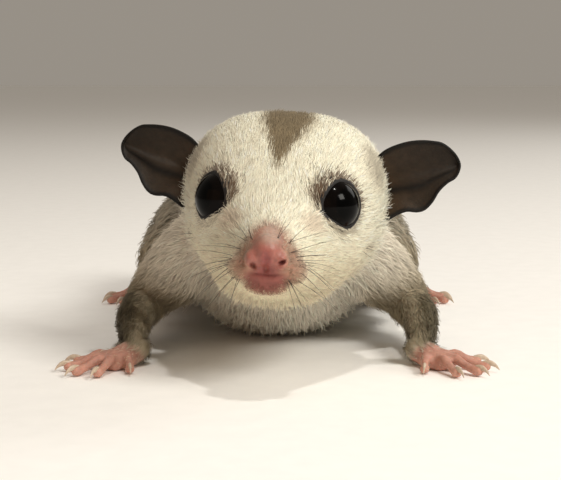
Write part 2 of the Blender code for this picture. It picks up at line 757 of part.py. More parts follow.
def make_limbs(neck, torso):
    """Both sides' limbs and flank folds, each cut to seat the next one out."""
    left = {name: tube(name + "_left", stations) for name, stations in LIMBS.items()}
    seats = {name: tube(name + "_seat", stations, grow=GAP) for name, stations in LIMBS.items()}
    for name, sizes in PAWS.items():
        left[name] = make_paw(name + "_left", sizes)
        seats[name] = make_paw(name + "_seat", sizes, GAP)
    far_seats = {name: flip_x(item, name + "_far_seat") for name, item in seats.items()}
    tail_seat = make_tail_core("tail_seat", 0.0, TAIL_SEAT_SHARE, GAP)
    limb_seats = [side[name] for side in (seats, far_seats) for name in LIMBS]
    combine(torso, [*limb_seats, tail_seat], "DIFFERENCE", keep=True)
    combine(neck, [seats["upper_arm"], far_seats["upper_arm"]], "DIFFERENCE", keep=True)
    for inner, outer in (("upper_arm", "forearm"), ("thigh", "shank"), ("forearm", "hand"), ("shank", "foot")):
        combine(left[inner], [seats[outer]], "DIFFERENCE", keep=True)
    torso_seat = copy_of(torso, "torso_seat", GAP)
    left["patagium"] = combine(make_fold("patagium_left"), [torso_seat, *seats.values()], "DIFFERENCE", keep=True)
    drop([torso_seat, tail_seat, *seats.values(), *far_seats.values()])
    right = [flip_x(item, name + "_right") for name, item in left.items()]
    return [*left.values(), *right]


def rest_on_floor(nodes):
    """Cuts off what would reach below the floor, which leaves flats to rest on."""
    wide = (-SURROUNDINGS, SURROUNDINGS)
    for node in nodes:
        combine(node, [block("floor", (wide, wide, (-SURROUNDINGS, 0.0)))], "DIFFERENCE")


def dress(nodes):
    for finish, prefixes in NODE_FINISHES.items():
        colour, roughness = FINISHES[finish]
        for node in nodes:
            if node.name.startswith(prefixes):
                node.data.materials.clear()
                node.data.materials.append(material(f"{finish}_{node.name}", colour, roughness))
                node.data.shade_smooth()


def gather(nodes):
    """Hangs every node on one root, which centres the animal over the origin."""
    corners = [v.co for node in nodes for v in node.data.vertices]
    root = bpy.data.objects.new("animal", None)
    bpy.context.scene.collection.objects.link(root)
    for axis in (0, 1):
        reach = [c[axis] for c in corners]
        root.location[axis] = -(min(reach) + max(reach)) / 2
    for node in nodes:
        node.parent = root


def main():
    clear_scene()
    surface = make_surface()
    face = make_head(surface)
    eyes = [make_eye("eye_left", 1), make_eye("eye_right", -1)]
    ears = [make_ear("ear_left", 1, face[0]), make_ear("ear_right", -1, face[0])]
    neck, torso = make_trunk(surface)
    drop([surface])
    limbs = make_limbs(neck, torso)
    tail = make_tail()
    rest_on_floor([neck, torso, *limbs, *tail])
    nodes = [*face, *eyes, *ears, neck, torso, *limbs, *tail]
    dress(nodes)
    gather(nodes)


main()
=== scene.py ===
"""A sugar glider at life size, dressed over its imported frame.

One skin covers the head, body, limbs and tail. Over it lie the coat, the ears, eyes, claws and
whiskers. Shapes are worked out in the animal's own millimetres: their origin lies on the floor
under the middle of the eyes, +X is the animal's left, +Y runs back to the tail and +Z is up.
"""

import logging
import math
from dataclasses import dataclass, field
from enum import Enum

import bmesh
import bpy
import numpy as np
from mathutils import Euler, Matrix, Vector
from mathutils.bvhtree import BVHTree
from mathutils.kdtree import KDTree

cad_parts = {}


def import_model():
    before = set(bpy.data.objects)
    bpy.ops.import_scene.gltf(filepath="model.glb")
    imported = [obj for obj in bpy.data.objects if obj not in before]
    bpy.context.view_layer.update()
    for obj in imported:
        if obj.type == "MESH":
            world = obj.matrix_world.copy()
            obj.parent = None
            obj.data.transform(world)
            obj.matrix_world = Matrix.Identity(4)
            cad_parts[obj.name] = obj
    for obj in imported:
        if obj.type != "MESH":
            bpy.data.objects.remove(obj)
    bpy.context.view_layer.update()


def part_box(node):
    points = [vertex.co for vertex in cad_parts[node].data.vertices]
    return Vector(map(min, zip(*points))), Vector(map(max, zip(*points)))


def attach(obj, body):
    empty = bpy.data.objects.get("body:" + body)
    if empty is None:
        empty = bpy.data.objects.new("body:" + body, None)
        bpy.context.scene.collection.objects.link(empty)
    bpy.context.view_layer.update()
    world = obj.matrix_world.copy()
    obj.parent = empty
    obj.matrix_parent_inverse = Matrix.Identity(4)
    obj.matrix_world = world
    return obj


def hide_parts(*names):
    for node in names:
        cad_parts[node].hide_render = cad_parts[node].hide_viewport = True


log = logging.getLogger("sugar_glider")

MM = 0.001
UP = Vector((0.0, 0.0, 1.0))
SIDES = {"left": 1, "right": -1}


# Small helpers

def sided(point: tuple, side: int) -> Vector:
    """A point given for the left, on the side asked for."""
    return Vector((side * point[0], *point[1:]))


def between(values: list, share: float):
    """Reads the smooth curve through evenly spaced values.

    Args:
        values: Numbers or vectors that the curve passes through.
        share: Where to read, from 0 at the first value to 1 at the last.

    Returns:
        The number or vector there.
    """
    spans = len(values) - 1
    place = min(max(share, 0.0), 1.0) * spans
    i = min(int(place), spans - 1)
    t = place - i
    a, b, c, d = values[max(i - 1, 0)], values[i], values[i + 1], values[min(i + 2, spans)]
    curve = (b * 3 - a - c * 3 + d) * t + (a * 2 - b * 5 + c * 4 - d)
    return (b * 2 + (c - a) * t + curve * t * t) * 0.5


def on_table(rows: tuple, share: float) -> float:
    """Reads a value from rows of (share, value), eased between them.

    Args:
        rows: Pairs of share and value, in order.
        share: Where to read.

    Returns:
        The eased value there.
    """
    for (low, first), (high, last) in zip(rows, rows[1:]):
        if share <= high:
            t = max(share - low, 0.0) / (high - low)
            return first + (last - first) * t * t * (3 - 2 * t)
    return rows[-1][1]


def curve_on(rows: tuple, share: float) -> float:
    """Reads the smooth curve through rows of (share, value) that stand at any spacing.

    Args:
        rows: Pairs of share and value, in order.
        share: Where to read.

    Returns:
        The value on the curve.
    """
    last = len(rows) - 1
    i = min(max(sum(row[0] <= share for row in rows) - 1, 0), last - 1)
    slopes = []
    for k in (i, i + 1):
        (x0, y0), (x1, y1) = rows[max(k - 1, 0)], rows[min(k + 1, last)]
        slopes.append((y1 - y0) / (x1 - x0))
    (low, first), (high, second) = rows[i], rows[i + 1]
    span = high - low
    t = min(max((share - low) / span, 0.0), 1.0)
    step = t * t * (3 - 2 * t)
    bend = slopes[0] * t * (1 - t) ** 2 - slopes[1] * t * t * (1 - t)
    return first + (second - first) * step + bend * span


def eased(values: np.ndarray, low: float, high: float) -> np.ndarray:
    """Rises smoothly from 0 where values reach low to 1 where they reach high."""
    t = np.clip((values - low) / (high - low), 0.0, 1.0)
    return t * t * (3 - 2 * t)


def unit(vectors: np.ndarray) -> np.ndarray:
    """Each row at length 1."""
    return vectors / np.maximum(np.linalg.norm(vectors, axis=1, keepdims=True), 1e-9)


def along_surface(vectors: np.ndarray, normals: np.ndarray) -> np.ndarray:
    """Each row laid in the surface that has the given normals, at length 1."""
    flat = vectors - normals * np.sum(vectors * normals, axis=1, keepdims=True)
    return unit(flat)


def within(points: np.ndarray, centre: tuple, radii: tuple) -> np.ndarray:
    """How far each point lies from the middle of an ellipsoid, 1 on its surface."""
    return np.linalg.norm((points - np.array(centre)) / np.array(radii), axis=1)


def moved(points: np.ndarray, matrix: Matrix) -> np.ndarray:
    """Each row taken through a matrix."""
    m = np.array(matrix)
    return points @ m[:3, :3].T + m[:3, 3]


def linear(code: str) -> tuple:
    """Turns an sRGB hex value to linear colour.

    Args:
        code: The colour as "#rrggbb".

    Returns:
        Red, green and blue from 0 to 1.
    """
    parts = [int(code[i:i + 2], 16) / 255 for i in (1, 3, 5)]
    return tuple(c / 12.92 if c <= 0.04045 else ((c + 0.055) / 1.055) ** 2.4 for c in parts)


# The animal's frame

@dataclass(frozen=True)
class Frame:
    """Where the animal stands, how its head is turned and how its muzzle bends.

    Attributes:
        origin: The place on the floor under the head's own origin, in metres.
        head: From the head's own frame, which starts between the eyes, to the animal's.
    """

    origin: Vector
    head: Matrix
    head_turn = (-5.0, 3.0, -7.0)
    eyes_below = 0.35
    bend_from = -4.0
    bend = 0.07

    @classmethod
    def from_eyes(cls) -> "Frame":
        """Reads the place of the head from the two packed eyes."""
        corners = [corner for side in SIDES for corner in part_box(f"eye_{side}")]
        middle = sum(corners, Vector()) / len(corners)
        turn = Euler([math.radians(a) for a in cls.head_turn], "XYZ").to_matrix().to_4x4()
        start = middle + (turn @ UP) * cls.eyes_below * MM
        return cls(Vector((start.x, start.y, 0.0)), Matrix.Translation(UP * start.z / MM) @ turn)

    def world(self) -> Matrix:
        """From the animal's millimetres to the world's metres."""
        return Matrix.Translation(self.origin) @ Matrix.Scale(MM, 4)

    def in_head(self, points: np.ndarray) -> np.ndarray:
        """Points of the animal in the head's own frame, with its muzzle straight."""
        made = moved(points, self.head.inverted())
        made[:, 0] -= self.bend * np.maximum(self.bend_from - made[:, 1], 0.0)
        return made

    def from_head(self, points: np.ndarray) -> np.ndarray:
        """Points of the head's own frame, given with its muzzle straight, in the animal's."""
        made = points.copy()
        made[:, 0] += self.bend * np.maximum(self.bend_from - made[:, 1], 0.0)
        return moved(made, self.head)


# Shapes in a bmesh

def add_ring(bm: bmesh.types.BMesh, centre: Vector, side: Vector, up: Vector, width: float,
             rise: float, drop: float, points: int, powers: tuple = (2.0, 2.0)) -> list:
    """Adds a closed ring with its own reach up, down and to the sides.

    Args:
        bm: The mesh that it joins.
        centre: Its middle.
        side: The way to its side.
        up: The way to its top.
        width: Its reach to each side.
        rise: Its reach up.
        drop: Its reach down.
        points: How many vertices it has.
        powers: How square its upper and lower halves are; 2 is round.

    Returns:
        Its vertices in order.
    """
    made = bmesh.ops.create_circle(bm, segments=points, radius=1.0)["verts"]
    for i, vert in enumerate(made):
        turn = math.tau * i / points
        reach, power = (rise, powers[0]) if math.sin(turn) >= 0 else (drop, powers[1])
        across = math.copysign(abs(math.cos(turn)) ** (2 / power), math.cos(turn)) * width
        along = math.copysign(abs(math.sin(turn)) ** (2 / power), math.sin(turn)) * reach
        vert.co = centre + side * across + up * along
    return made


def skin_rings(bm: bmesh.types.BMesh, rings: list, tip: Vector = None) -> None:
    """Bridges rings in order and caps both ends.

    Args:
        bm: The mesh that holds them.
        rings: Lists of vertices.
        tip: A point that the last cap is drawn out to, if any.
    """
    for pair in zip(rings, rings[1:]):
        edges = set()
        for loop in pair:
            inside = set(loop)
            edges |= {e for v in loop for e in v.link_edges if set(e.verts) <= inside}
        bmesh.ops.bridge_loops(bm, edges=list(edges))
    bm.faces.new(rings[0])
    cap = bm.faces.new(rings[-1])
    if tip is not None:
        bmesh.ops.poke(bm, faces=[cap])["verts"][0].co = tip


def add_tube(bm: bmesh.types.BMesh, stations: list, points: int = 16, spans: int = 6,
             rise: float = 1.0, width: float = 1.0) -> list:
    """Adds a round-ended tube that runs smoothly through its stations.

    Args:
        bm: The mesh that it joins.
        stations: Pairs of point and radius.
        points: Vertices round each ring.
        spans: Rings between two stations.
        rise: Its height as a share of its radius.
        width: Its width as a share of its radius.

    Returns:
        Its vertices.
    """
    samples = spans * (len(stations) - 1)
    places = [between([Vector(p) for p, _ in stations], i / samples) for i in range(samples + 1)]
    sizes = [between([r for _, r in stations], i / samples) for i in range(samples + 1)]
    rings = []
    for i, (centre, size) in enumerate(zip(places, sizes)):
        tangent = (places[min(i + 1, samples)] - places[max(i - 1, 0)]).normalized()
        side = tangent.cross(UP if abs(tangent.z) < 0.98 else Vector((0, 1, 0))).normalized()
        up = side.cross(tangent).normalized()
        before = (-0.95, -0.8, -0.5) if i == 0 else ()
        after = (0.5, 0.8, 0.95) if i == samples else ()
        for offset in (*before, 0.0, *after):
            radius = size * math.sqrt(1 - offset * offset)
            middle = centre + tangent * offset * size
            rings.append(add_ring(bm, middle, side, up, radius * width, radius * rise, radius * rise, points))
    skin_rings(bm, rings)
    return [v for ring in rings for v in ring]


def add_ellipsoid(bm: bmesh.types.BMesh, centre: tuple, radii: tuple, turn: Matrix = None) -> list:
    """Adds an ellipsoid and returns its vertices."""
    made = bmesh.ops.create_uvsphere(bm, u_segments=40, v_segments=24, radius=1.0)["verts"]
    spin = turn or Matrix.Identity(3)
    for vert in made:
        vert.co = Vector(centre) + spin @ Vector(c * r for c, r in zip(vert.co, radii))
    return made


def add_object(name: str, bm: bmesh.types.BMesh, frame: Frame = None) -> bpy.types.Object:
    """Turns a bmesh into a smooth object, with its place in its mesh.

    Args:
        name: The piece's name.
        bm: Its mesh, which is freed.
        frame: Takes it from the animal's millimetres to metres, if given.

    Returns:
        The new object, at the origin.
    """
    bmesh.ops.recalc_face_normals(bm, faces=bm.faces)
    if frame is not None:
        bm.transform(frame.world())
    mesh = bpy.data.meshes.new(name)
    bm.to_mesh(mesh)
    bm.free()
    mesh.shade_smooth()
    made = bpy.data.objects.new(name, mesh)
    bpy.context.scene.collection.objects.link(made)
    return made


def bake(item: bpy.types.Object) -> bpy.types.Object:
    """Swaps the object's mesh for the one that its modifiers make."""
    graph = bpy.context.evaluated_depsgraph_get()
    graph.update()
    mesh = bpy.data.meshes.new_from_object(item.evaluated_get(graph))
    item.modifiers.clear()
    item.data = mesh
    return item


def vertices(mesh: bpy.types.Mesh) -> np.ndarray:
    """A mesh's vertices as rows."""
    flat = np.empty(len(mesh.vertices) * 3, dtype=np.float32)
    mesh.vertices.foreach_get("co", flat)
    return flat.reshape(-1, 3).astype(np.float64)


def normals(mesh: bpy.types.Mesh) -> np.ndarray:
    """A mesh's vertex normals as rows."""
    flat = np.empty(len(mesh.vertices) * 3, dtype=np.float32)
    mesh.vertices.foreach_get("normal", flat)
    return flat.reshape(-1, 3).astype(np.float64)


def set_vertices(mesh: bpy.types.Mesh, points: np.ndarray) -> None:
    """Moves a mesh's vertices to the rows given."""
    mesh.vertices.foreach_set("co", points.astype(np.float32).ravel())
    mesh.update()


def paint(mesh: bpy.types.Mesh, name: str, colours: np.ndarray) -> None:
    """Stores a colour for each vertex in a named attribute."""
    rows = np.ones((len(colours), 4), dtype=np.float32)
    rows[:, :3] = colours
    mesh.attributes.new(name, "FLOAT_COLOR", "POINT").data.foreach_set("color", rows.ravel())


# Finishes

def add_node(tree: bpy.types.NodeTree, kind: str, inputs: dict = None, **settings) -> bpy.types.Node:
    """Adds a node with its settings and links.

    Args:
        tree: The material's node tree.
        kind: The node's type name.
        inputs: Socket name or number to a value, or to the socket that feeds it.
        settings: The node's own properties.

    Returns:
        The new node.
    """
    node = tree.nodes.new(kind)
    for key, value in settings.items():
        setattr(node, key, value)
    for key, value in (inputs or {}).items():
        if isinstance(value, bpy.types.NodeSocket):
            tree.links.new(value, node.inputs[key])
        else:
            node.inputs[key].default_value = value
    return node


def new_material(name: str, **sockets) -> tuple:
    """Makes a material with a Principled shader.

    Args:
        name: The material's name.
        sockets: Shader socket names, with _ for a space, and their constant values.

    Returns:
        The material, its tree and its shader.
    """
    made = bpy.data.materials.new(name)
    made.use_nodes = True
    tree = made.node_tree
    shader = tree.nodes["Principled BSDF"]
    for key, value in sockets.items():
        shader.inputs[key.replace("_", " ")].default_value = value
    return made, tree, shader


def grain(tree: bpy.types.NodeTree, size: float, detail: float = 2.0) -> bpy.types.NodeSocket:
    """Noise on Object coordinates whose lumps are about size millimetres across."""
    place = add_node(tree, "ShaderNodeTexCoord").outputs["Object"]
    noise = add_node(tree, "ShaderNodeTexNoise", {"Vector": place, "Scale": 1 / (size * MM), "Detail": detail})
    return noise.outputs["Fac"]


def varied(tree: bpy.types.NodeTree, colour: bpy.types.NodeSocket, size: float, amount: float) -> bpy.types.NodeSocket:
    """A colour made lighter and darker by a share, in patches of a size in millimetres."""
    spread = add_node(tree, "ShaderNodeMapRange", {"Value": grain(tree, size), "From Min": 0.3, "From Max": 0.7,
                                                   "To Min": 1 - amount, "To Max": 1 + amount})
    return add_node(tree, "ShaderNodeMix", {"Factor": 1.0, 6: colour, 7: spread.outputs["Result"]},
                    data_type="RGBA", blend_type="MULTIPLY").outputs[2]


def bumped(tree: bpy.types.NodeTree, height: bpy.types.NodeSocket, depth: float,
           under: bpy.types.NodeSocket = None) -> bpy.types.NodeSocket:
    """A normal raised by a height, depth millimetres at most, over another normal if given."""
    inputs = {"Height": height, "Distance": depth * MM, "Strength": 1.0}
    if under is not None:
        inputs["Normal"] = under
    return add_node(tree, "ShaderNodeBump", inputs).outputs["Normal"]


@dataclass(frozen=True)
class SkinFinish:
    """Living skin: thin, moist on the nose and dry on the soles, pink where it is bare.

    Under the coat it takes the coat's own colour, a tenth darker as painted shade. Light sinks in a little, which
    softens it.
    """

    name: str = "living_skin"
    pore: float = 0.22
    pore_depth: float = 0.05
    crease: float = 0.9
    crease_depth: float = 0.12

    def make(self) -> bpy.types.Material:
        """Makes the material, coloured by the attribute "markings"."""
        made, tree, shader = new_material(self.name, Subsurface_Weight=0.25, Subsurface_Scale=0.6 * MM,
                                          Subsurface_Radius=(1.0, 0.35, 0.2), Specular_IOR_Level=0.45)
        marks = add_node(tree, "ShaderNodeAttribute", attribute_name="markings").outputs["Color"]
        moist = add_node(tree, "ShaderNodeAttribute", attribute_name="moisture").outputs["Fac"]
        rough = add_node(tree, "ShaderNodeMapRange", {"Value": moist, "To Min": 0.62, "To Max": 0.4})
        tree.links.new(varied(tree, marks, 0.7, 0.12), shader.inputs["Base Color"])
        tree.links.new(rough.outputs["Result"], shader.inputs["Roughness"])
        creases = bumped(tree, grain(tree, self.crease, 1.0), self.crease_depth)
        tree.links.new(bumped(tree, grain(tree, self.pore), self.pore_depth, creases), shader.inputs["Normal"])
        return made


@dataclass(frozen=True)
class CoatFinish:
    """Soft, dry hair: keratin strands with a broad, weak shine and a pale bloom at the edges.

    A real hair is about 0.02 mm thick. The strands are drawn some ten times as coarse, so that
    they show, and each strand's own shade comes with its markings.
    """

    name: str
    shade: float = 0.04
    patch: float = 1.6

    def make(self) -> bpy.types.Material:
        """Makes the material, coloured by the attribute "markings"."""
        made, tree, shader = new_material(self.name, Specular_IOR_Level=0.25, Sheen_Weight=0.12,
                                          Sheen_Roughness=0.5)
        marks = add_node(tree, "ShaderNodeAttribute", attribute_name="markings").outputs["Color"]
        tree.links.new(varied(tree, marks, self.patch, self.shade), shader.inputs["Base Color"])
        rough = add_node(tree, "ShaderNodeMapRange", {"Value": grain(tree, 0.5), "To Min": 0.55, "To Max": 0.75})
        tree.links.new(rough.outputs["Result"], shader.inputs["Roughness"])
        return made


@dataclass(frozen=True)
class EyeFinish:
    """A wet eye: a nearly black brown iris under a clear, polished cornea."""

    name: str = "wet_cornea"
    pupil: str = "#010101"
    iris: str = "#080504"
    edge: str = "#020202"

    def make(self) -> bpy.types.Material:
        """Makes the material, with its rings on the attribute "ring"."""
        made, tree, shader = new_material(self.name, Specular_IOR_Level=0.05, IOR=1.376, Coat_Weight=0.22,
                                          Coat_Roughness=0.02, Coat_IOR=1.3)
        ring = add_node(tree, "ShaderNodeAttribute", attribute_name="ring").outputs["Fac"]
        ramp = add_node(tree, "ShaderNodeValToRGB", {"Fac": ring})
        stops = ((0.0, self.pupil), (0.42, self.pupil), (0.5, self.iris), (0.86, self.iris), (0.95, self.edge))
        for i, (place, colour) in enumerate(stops):
            stop = ramp.color_ramp.elements[i] if i < 2 else ramp.color_ramp.elements.new(place)
            stop.position = place
            stop.color = (*linear(colour), 1.0)
        tree.links.new(varied(tree, ramp.outputs["Color"], 0.35, 0.25), shader.inputs["Base Color"])
        rough = add_node(tree, "ShaderNodeMapRange", {"Value": grain(tree, 0.6), "To Min": 0.13, "To Max": 0.17})
        tree.links.new(rough.outputs["Result"], shader.inputs["Roughness"])
        return made


@dataclass(frozen=True)
class EarFinish:
    """The ear's membrane: thin, dark, nearly bare skin, with fine creases across it."""

    name: str = "ear_membrane"

    def make(self) -> bpy.types.Material:
        """Makes the material, coloured by the attribute "markings"."""
        made, tree, shader = new_material(self.name, Subsurface_Weight=0.15, Subsurface_Scale=0.5 * MM,
                                          Subsurface_Radius=(1.0, 0.4, 0.25), Specular_IOR_Level=0.22)
        marks = add_node(tree, "ShaderNodeAttribute", attribute_name="markings").outputs["Color"]
        tree.links.new(varied(tree, marks, 1.1, 0.18), shader.inputs["Base Color"])
        rough = add_node(tree, "ShaderNodeMapRange", {"Value": grain(tree, 0.8), "To Min": 0.5, "To Max": 0.7})
        tree.links.new(rough.outputs["Result"], shader.inputs["Roughness"])
        tree.links.new(bumped(tree, grain(tree, 0.45, 3.0), 0.06), shader.inputs["Normal"])
        return made


@dataclass(frozen=True)
class HornFinish:
    """Keratin of a claw or a whisker: smooth, a little see-through, with streaks along it."""

    name: str
    light: str
    dark: str
    clear: float = 0.0
    streak: float = 0.5

    def make(self) -> bpy.types.Material:
        """Makes the material on Object coordinates."""
        made, tree, shader = new_material(self.name, Specular_IOR_Level=0.5, Transmission_Weight=self.clear,
                                          IOR=1.54)
        mix = add_node(tree, "ShaderNodeMix", {"Factor": grain(tree, self.streak, 1.0), 6: (*linear(self.light), 1.0),
                                               7: (*linear(self.dark), 1.0)}, data_type="RGBA")
        tree.links.new(mix.outputs[2], shader.inputs["Base Color"])
        rough = add_node(tree, "ShaderNodeMapRange", {"Value": grain(tree, 0.3), "To Min": 0.28, "To Max": 0.42})
        tree.links.new(rough.outputs["Result"], shader.inputs["Roughness"])
        return made


@dataclass(frozen=True)
class FloorFinish:
    """A pale, matt studio sweep."""

    name: str = "matt_sweep"
    colour: str = "#fdfcfa"

    def make(self) -> bpy.types.Material:
        """Makes the material with a barely visible mottle."""
        made, tree, shader = new_material(self.name, Roughness=0.9, Specular_IOR_Level=0.2)
        base = add_node(tree, "ShaderNodeRGB")
        base.outputs[0].default_value = (*linear(self.colour), 1.0)
        tree.links.new(varied(tree, base.outputs[0], 4.0, 0.015), shader.inputs["Base Color"])
        return made


# Regions of the body

class Region(Enum):
    """The parts of the body that the coat tells apart."""

    HEAD = "head"
    TRUNK = "trunk"
    FOLD = "fold"
    TAIL = "tail"
    ARM = "arm"
    LEG = "leg"
    HAND = "hand"
    FOOT = "foot"


@dataclass(frozen=True)
class Stretch:
    """A length of the body about a middle line, which tells where it is and which way it runs.

    Attributes:
        region: The region that it belongs to.
        line: Points along its middle.
        radii: Its radius at each point.
    """

    region: Region
    line: tuple
    radii: tuple

    def closeness(self, points: np.ndarray) -> tuple:
        """Measures from its surface.

        Args:
            points: Rows in the animal's millimetres.

        Returns:
            How far each point lies from its surface, and the way that it runs there.
        """
        best = np.full(len(points), 1e9)
        way = np.zeros_like(points)
        for i in range(len(self.line) - 1):
            start = np.array(self.line[i])
            run = np.array(self.line[i + 1]) - start
            share = np.clip((points - start) @ run / (run @ run), 0.0, 1.0)
            radius = self.radii[i] + (self.radii[i + 1] - self.radii[i]) * share
            gap = np.linalg.norm(points - start - share[:, None] * run, axis=1) - radius
            closer = gap < best
            best = np.where(closer, gap, best)
            way[closer] = run / np.linalg.norm(run)
        return best, way


@dataclass(frozen=True)
class HairKind:
    """How the coat grows on a region, in millimetres and degrees.

    Attributes:
        length: Of a hair.
        lift: The angle at which it leaves the skin.
        width: At its widest.
        density: How thickly it grows, against the head's 1.
        clump: How far tips draw together, from 0 to 1.
    """

    length: float
    lift: float
    width: float
    density: float
    clump: float


HAIR = {
    Region.HEAD: HairKind(2.4, 17.0, 0.12, 1.0, 0.38),
    Region.TRUNK: HairKind(6.0, 27.0, 0.2, 0.42, 0.32),
    Region.FOLD: HairKind(3.6, 20.0, 0.18, 0.45, 0.35),
    Region.TAIL: HairKind(9.5, 34.0, 0.24, 0.85, 0.45),
    Region.ARM: HairKind(2.6, 18.0, 0.15, 0.9, 0.35),
    Region.LEG: HairKind(3.2, 19.0, 0.17, 0.7, 0.35),
    Region.HAND: HairKind(0.8, 10.0, 0.08, 0.0, 0.1),
    Region.FOOT: HairKind(0.8, 10.0, 0.08, 0.0, 0.1),
}


# The body under the coat

@dataclass
class Head:
    """The flesh of the head, in its own frame, which starts between the eyes."""

    coat: tuple = ((-12.0, 0.0), (-7.0, 0.3), (0.0, 0.42), (10.0, 0.55), (20.0, 0.8))
    sections: tuple = (
        (-12.8, -6.0, -10.3, 1.8, -8.4),
        (-12.0, -4.9, -11.5, 3.0, -8.6),
        (-10.5, -3.9, -12.6, 4.1, -8.9),
        (-8.5, -2.6, -13.4, 5.1, -8.9),
        (-6.0, -0.2, -13.9, 6.7, -8.2),
        (-3.5, 3.2, -14.2, 8.6, -6.0),
        (-1.0, 6.4, -14.4, 10.2, -4.3),
        (2.0, 9.3, -14.4, 12.3, -2.6),
        (5.5, 11.7, -14.2, 14.1, -1.2),
        (9.0, 13.0, -13.7, 14.8, -0.5),
        (13.0, 13.1, -12.7, 14.5, -0.3),
        (17.0, 11.9, -11.2, 13.0, -0.5),
        (20.5, 9.2, -9.4, 10.2, -0.8),
        (22.8, 4.8, -5.5, 5.4, -1.0),
    )
    crown_power: tuple = ((-3.0, 2.3), (6.0, 2.65))
    throat_power: float = 2.2
    nose_bulb: tuple = ((0.0, -12.1, -6.9), (2.25, 2.6, 2.3))
    nostril_wing: tuple = ((2.05, -12.8, -8.1), (1.12, 1.5, 1.3))
    whisker_pad: tuple = ((3.3, -9.4, -9.6), (2.3, 3.0, 1.9))
    lower_lip: tuple = ((0.0, -9.5, -12.0), (3.2, 2.3, 1.1))
    nostril_left: tuple = ((2.2, -13.8, -8.25), (0.62, 1.3, 0.3), 24.0)
    nostril_right: tuple = ((-1.75, -13.8, -9.0), (0.5, 1.3, 0.42), 40.0)
    wing_groove: tuple = ((3.1, -12.6, -7.4), (0.4, 1.7, 1.7))
    nostril_depth: float = 1.3
    philtrum: tuple = (-10.0, -7.4, 0.38)
    philtrum_depth: float = 0.5
    mouth_front: tuple = (-12.8, -10.2)
    mouth_corner: tuple = (-3.8, -9.8)
    mouth_side_rise: float = 0.8
    mouth_reach: float = 12.0
    mouth_depth: float = 0.34
    mouth_width: float = 0.27
    mouth_fade: tuple = (0.7, 2.6)
    eye_at: tuple = (8.0, 0.0, -0.35)
    eye_radius: float = 3.95
    eye_outward: float = 50.0
    eye_upward: float = 6.0
    brow_radii: tuple = (5.0, 5.0, 3.2)
    brow_setback: float = 0.5
    lid_opening: float = 61.0
    lid_corner: float = 13.0
    lid_outer: float = 7.0
    lid_corner_turn: float = -12.0
    lid_below: float = 8.0
    lid_below_turn: float = -58.0
    lid_radius: float = 0.42
    lid_steps: int = 96

    def eye_axis(self, side: int) -> Vector:
        """The way that an eye looks."""
        out, rise = math.radians(self.eye_outward), math.radians(self.eye_upward)
        return Vector((side * math.sin(out) * math.cos(rise), -math.cos(out) * math.cos(rise), math.sin(rise)))

    def lid_point(self, side: int, turn: float) -> tuple:
        """A place on the rim of the lids.

        Args:
            side: 1 on the left, -1 on the right.
            turn: How far round the rim, in radians from the inner corner.

        Returns:
            The place, the way out of the eye and the way along the rim.
        """
        axis = self.eye_axis(side)
        inward = axis.cross(UP).normalized() * side
        rise = inward.cross(axis).normalized() * side
        corner = max(0.0, math.cos(turn - math.radians(self.lid_corner_turn)))
        outer = max(0.0, -math.cos(turn))
        below = max(0.0, math.cos(turn - math.radians(self.lid_below_turn)))
        opening = math.radians(self.lid_opening + self.lid_corner * corner ** 6 - self.lid_outer * outer ** 2
                               - self.lid_below * below ** 4)
        way = inward * math.cos(turn) + rise * math.sin(turn)
        along = (rise * math.cos(turn) - inward * math.sin(turn)).normalized()
        out = axis * math.cos(opening) + way * math.sin(opening)
        return sided(self.eye_at, side) + out * self.eye_radius, out, along

    def add_lid(self, bm: bmesh.types.BMesh, side: int) -> None:
        """Adds the rim of the lids: a line about the eye, drawn out to the inner corner."""
        rings = []
        for i in range(self.lid_steps):
            middle, out, along = self.lid_point(side, math.tau * i / self.lid_steps)
            size = self.lid_radius
            rings.append(add_ring(bm, middle, out, along.cross(out), size, size, size, 12))
        edges = {e for ring in rings for v in ring for e in v.link_edges}
        for first, second in zip(rings, rings[1:] + rings[:1]):
            pair = set(first) | set(second)
            bmesh.ops.bridge_loops(bm, edges=[e for e in edges if set(e.verts) <= pair])

    def build(self, frame: Frame) -> bmesh.types.BMesh:
        """Builds the masses of the head, inset by the depth of the coat.

        Args:
            frame: Where the head is held.

        Returns:
            A mesh of closed, overlapping forms in the animal's millimetres.
        """
        bm = bmesh.new()
        side = Vector((1.0, 0.0, 0.0))
        rings = []
        steps = 5 * (len(self.sections) - 1)
        for i in range(steps + 1):
            y, top, bottom, half, widest = (between([row[k] for row in self.sections], i / steps) for k in range(5))
            coat = on_table(self.coat, y)
            rings.append(add_ring(bm, Vector((0.0, y, widest)), side, UP, half - coat, top - widest - coat,
                                  widest - bottom - coat, 72, (on_table(self.crown_power, y), self.throat_power)))
        skin_rings(bm, rings)
        for centre, radii in (self.nose_bulb, self.lower_lip):
            add_ellipsoid(bm, centre, radii)
        for hand in SIDES.values():
            for centre, radii in (self.nostril_wing, self.whisker_pad):
                add_ellipsoid(bm, sided(centre, hand), radii)
            axis = self.eye_axis(hand)
            middle = sided(self.eye_at, hand) - axis * self.brow_setback
            add_ellipsoid(bm, middle, self.brow_radii, axis.to_track_quat("Z", "Y").to_matrix())
            self.add_lid(bm, hand)
        for vert in bm.verts:
            vert.co.x += frame.bend * max(frame.bend_from - vert.co.y, 0.0)
        bm.transform(frame.head)
        return bm

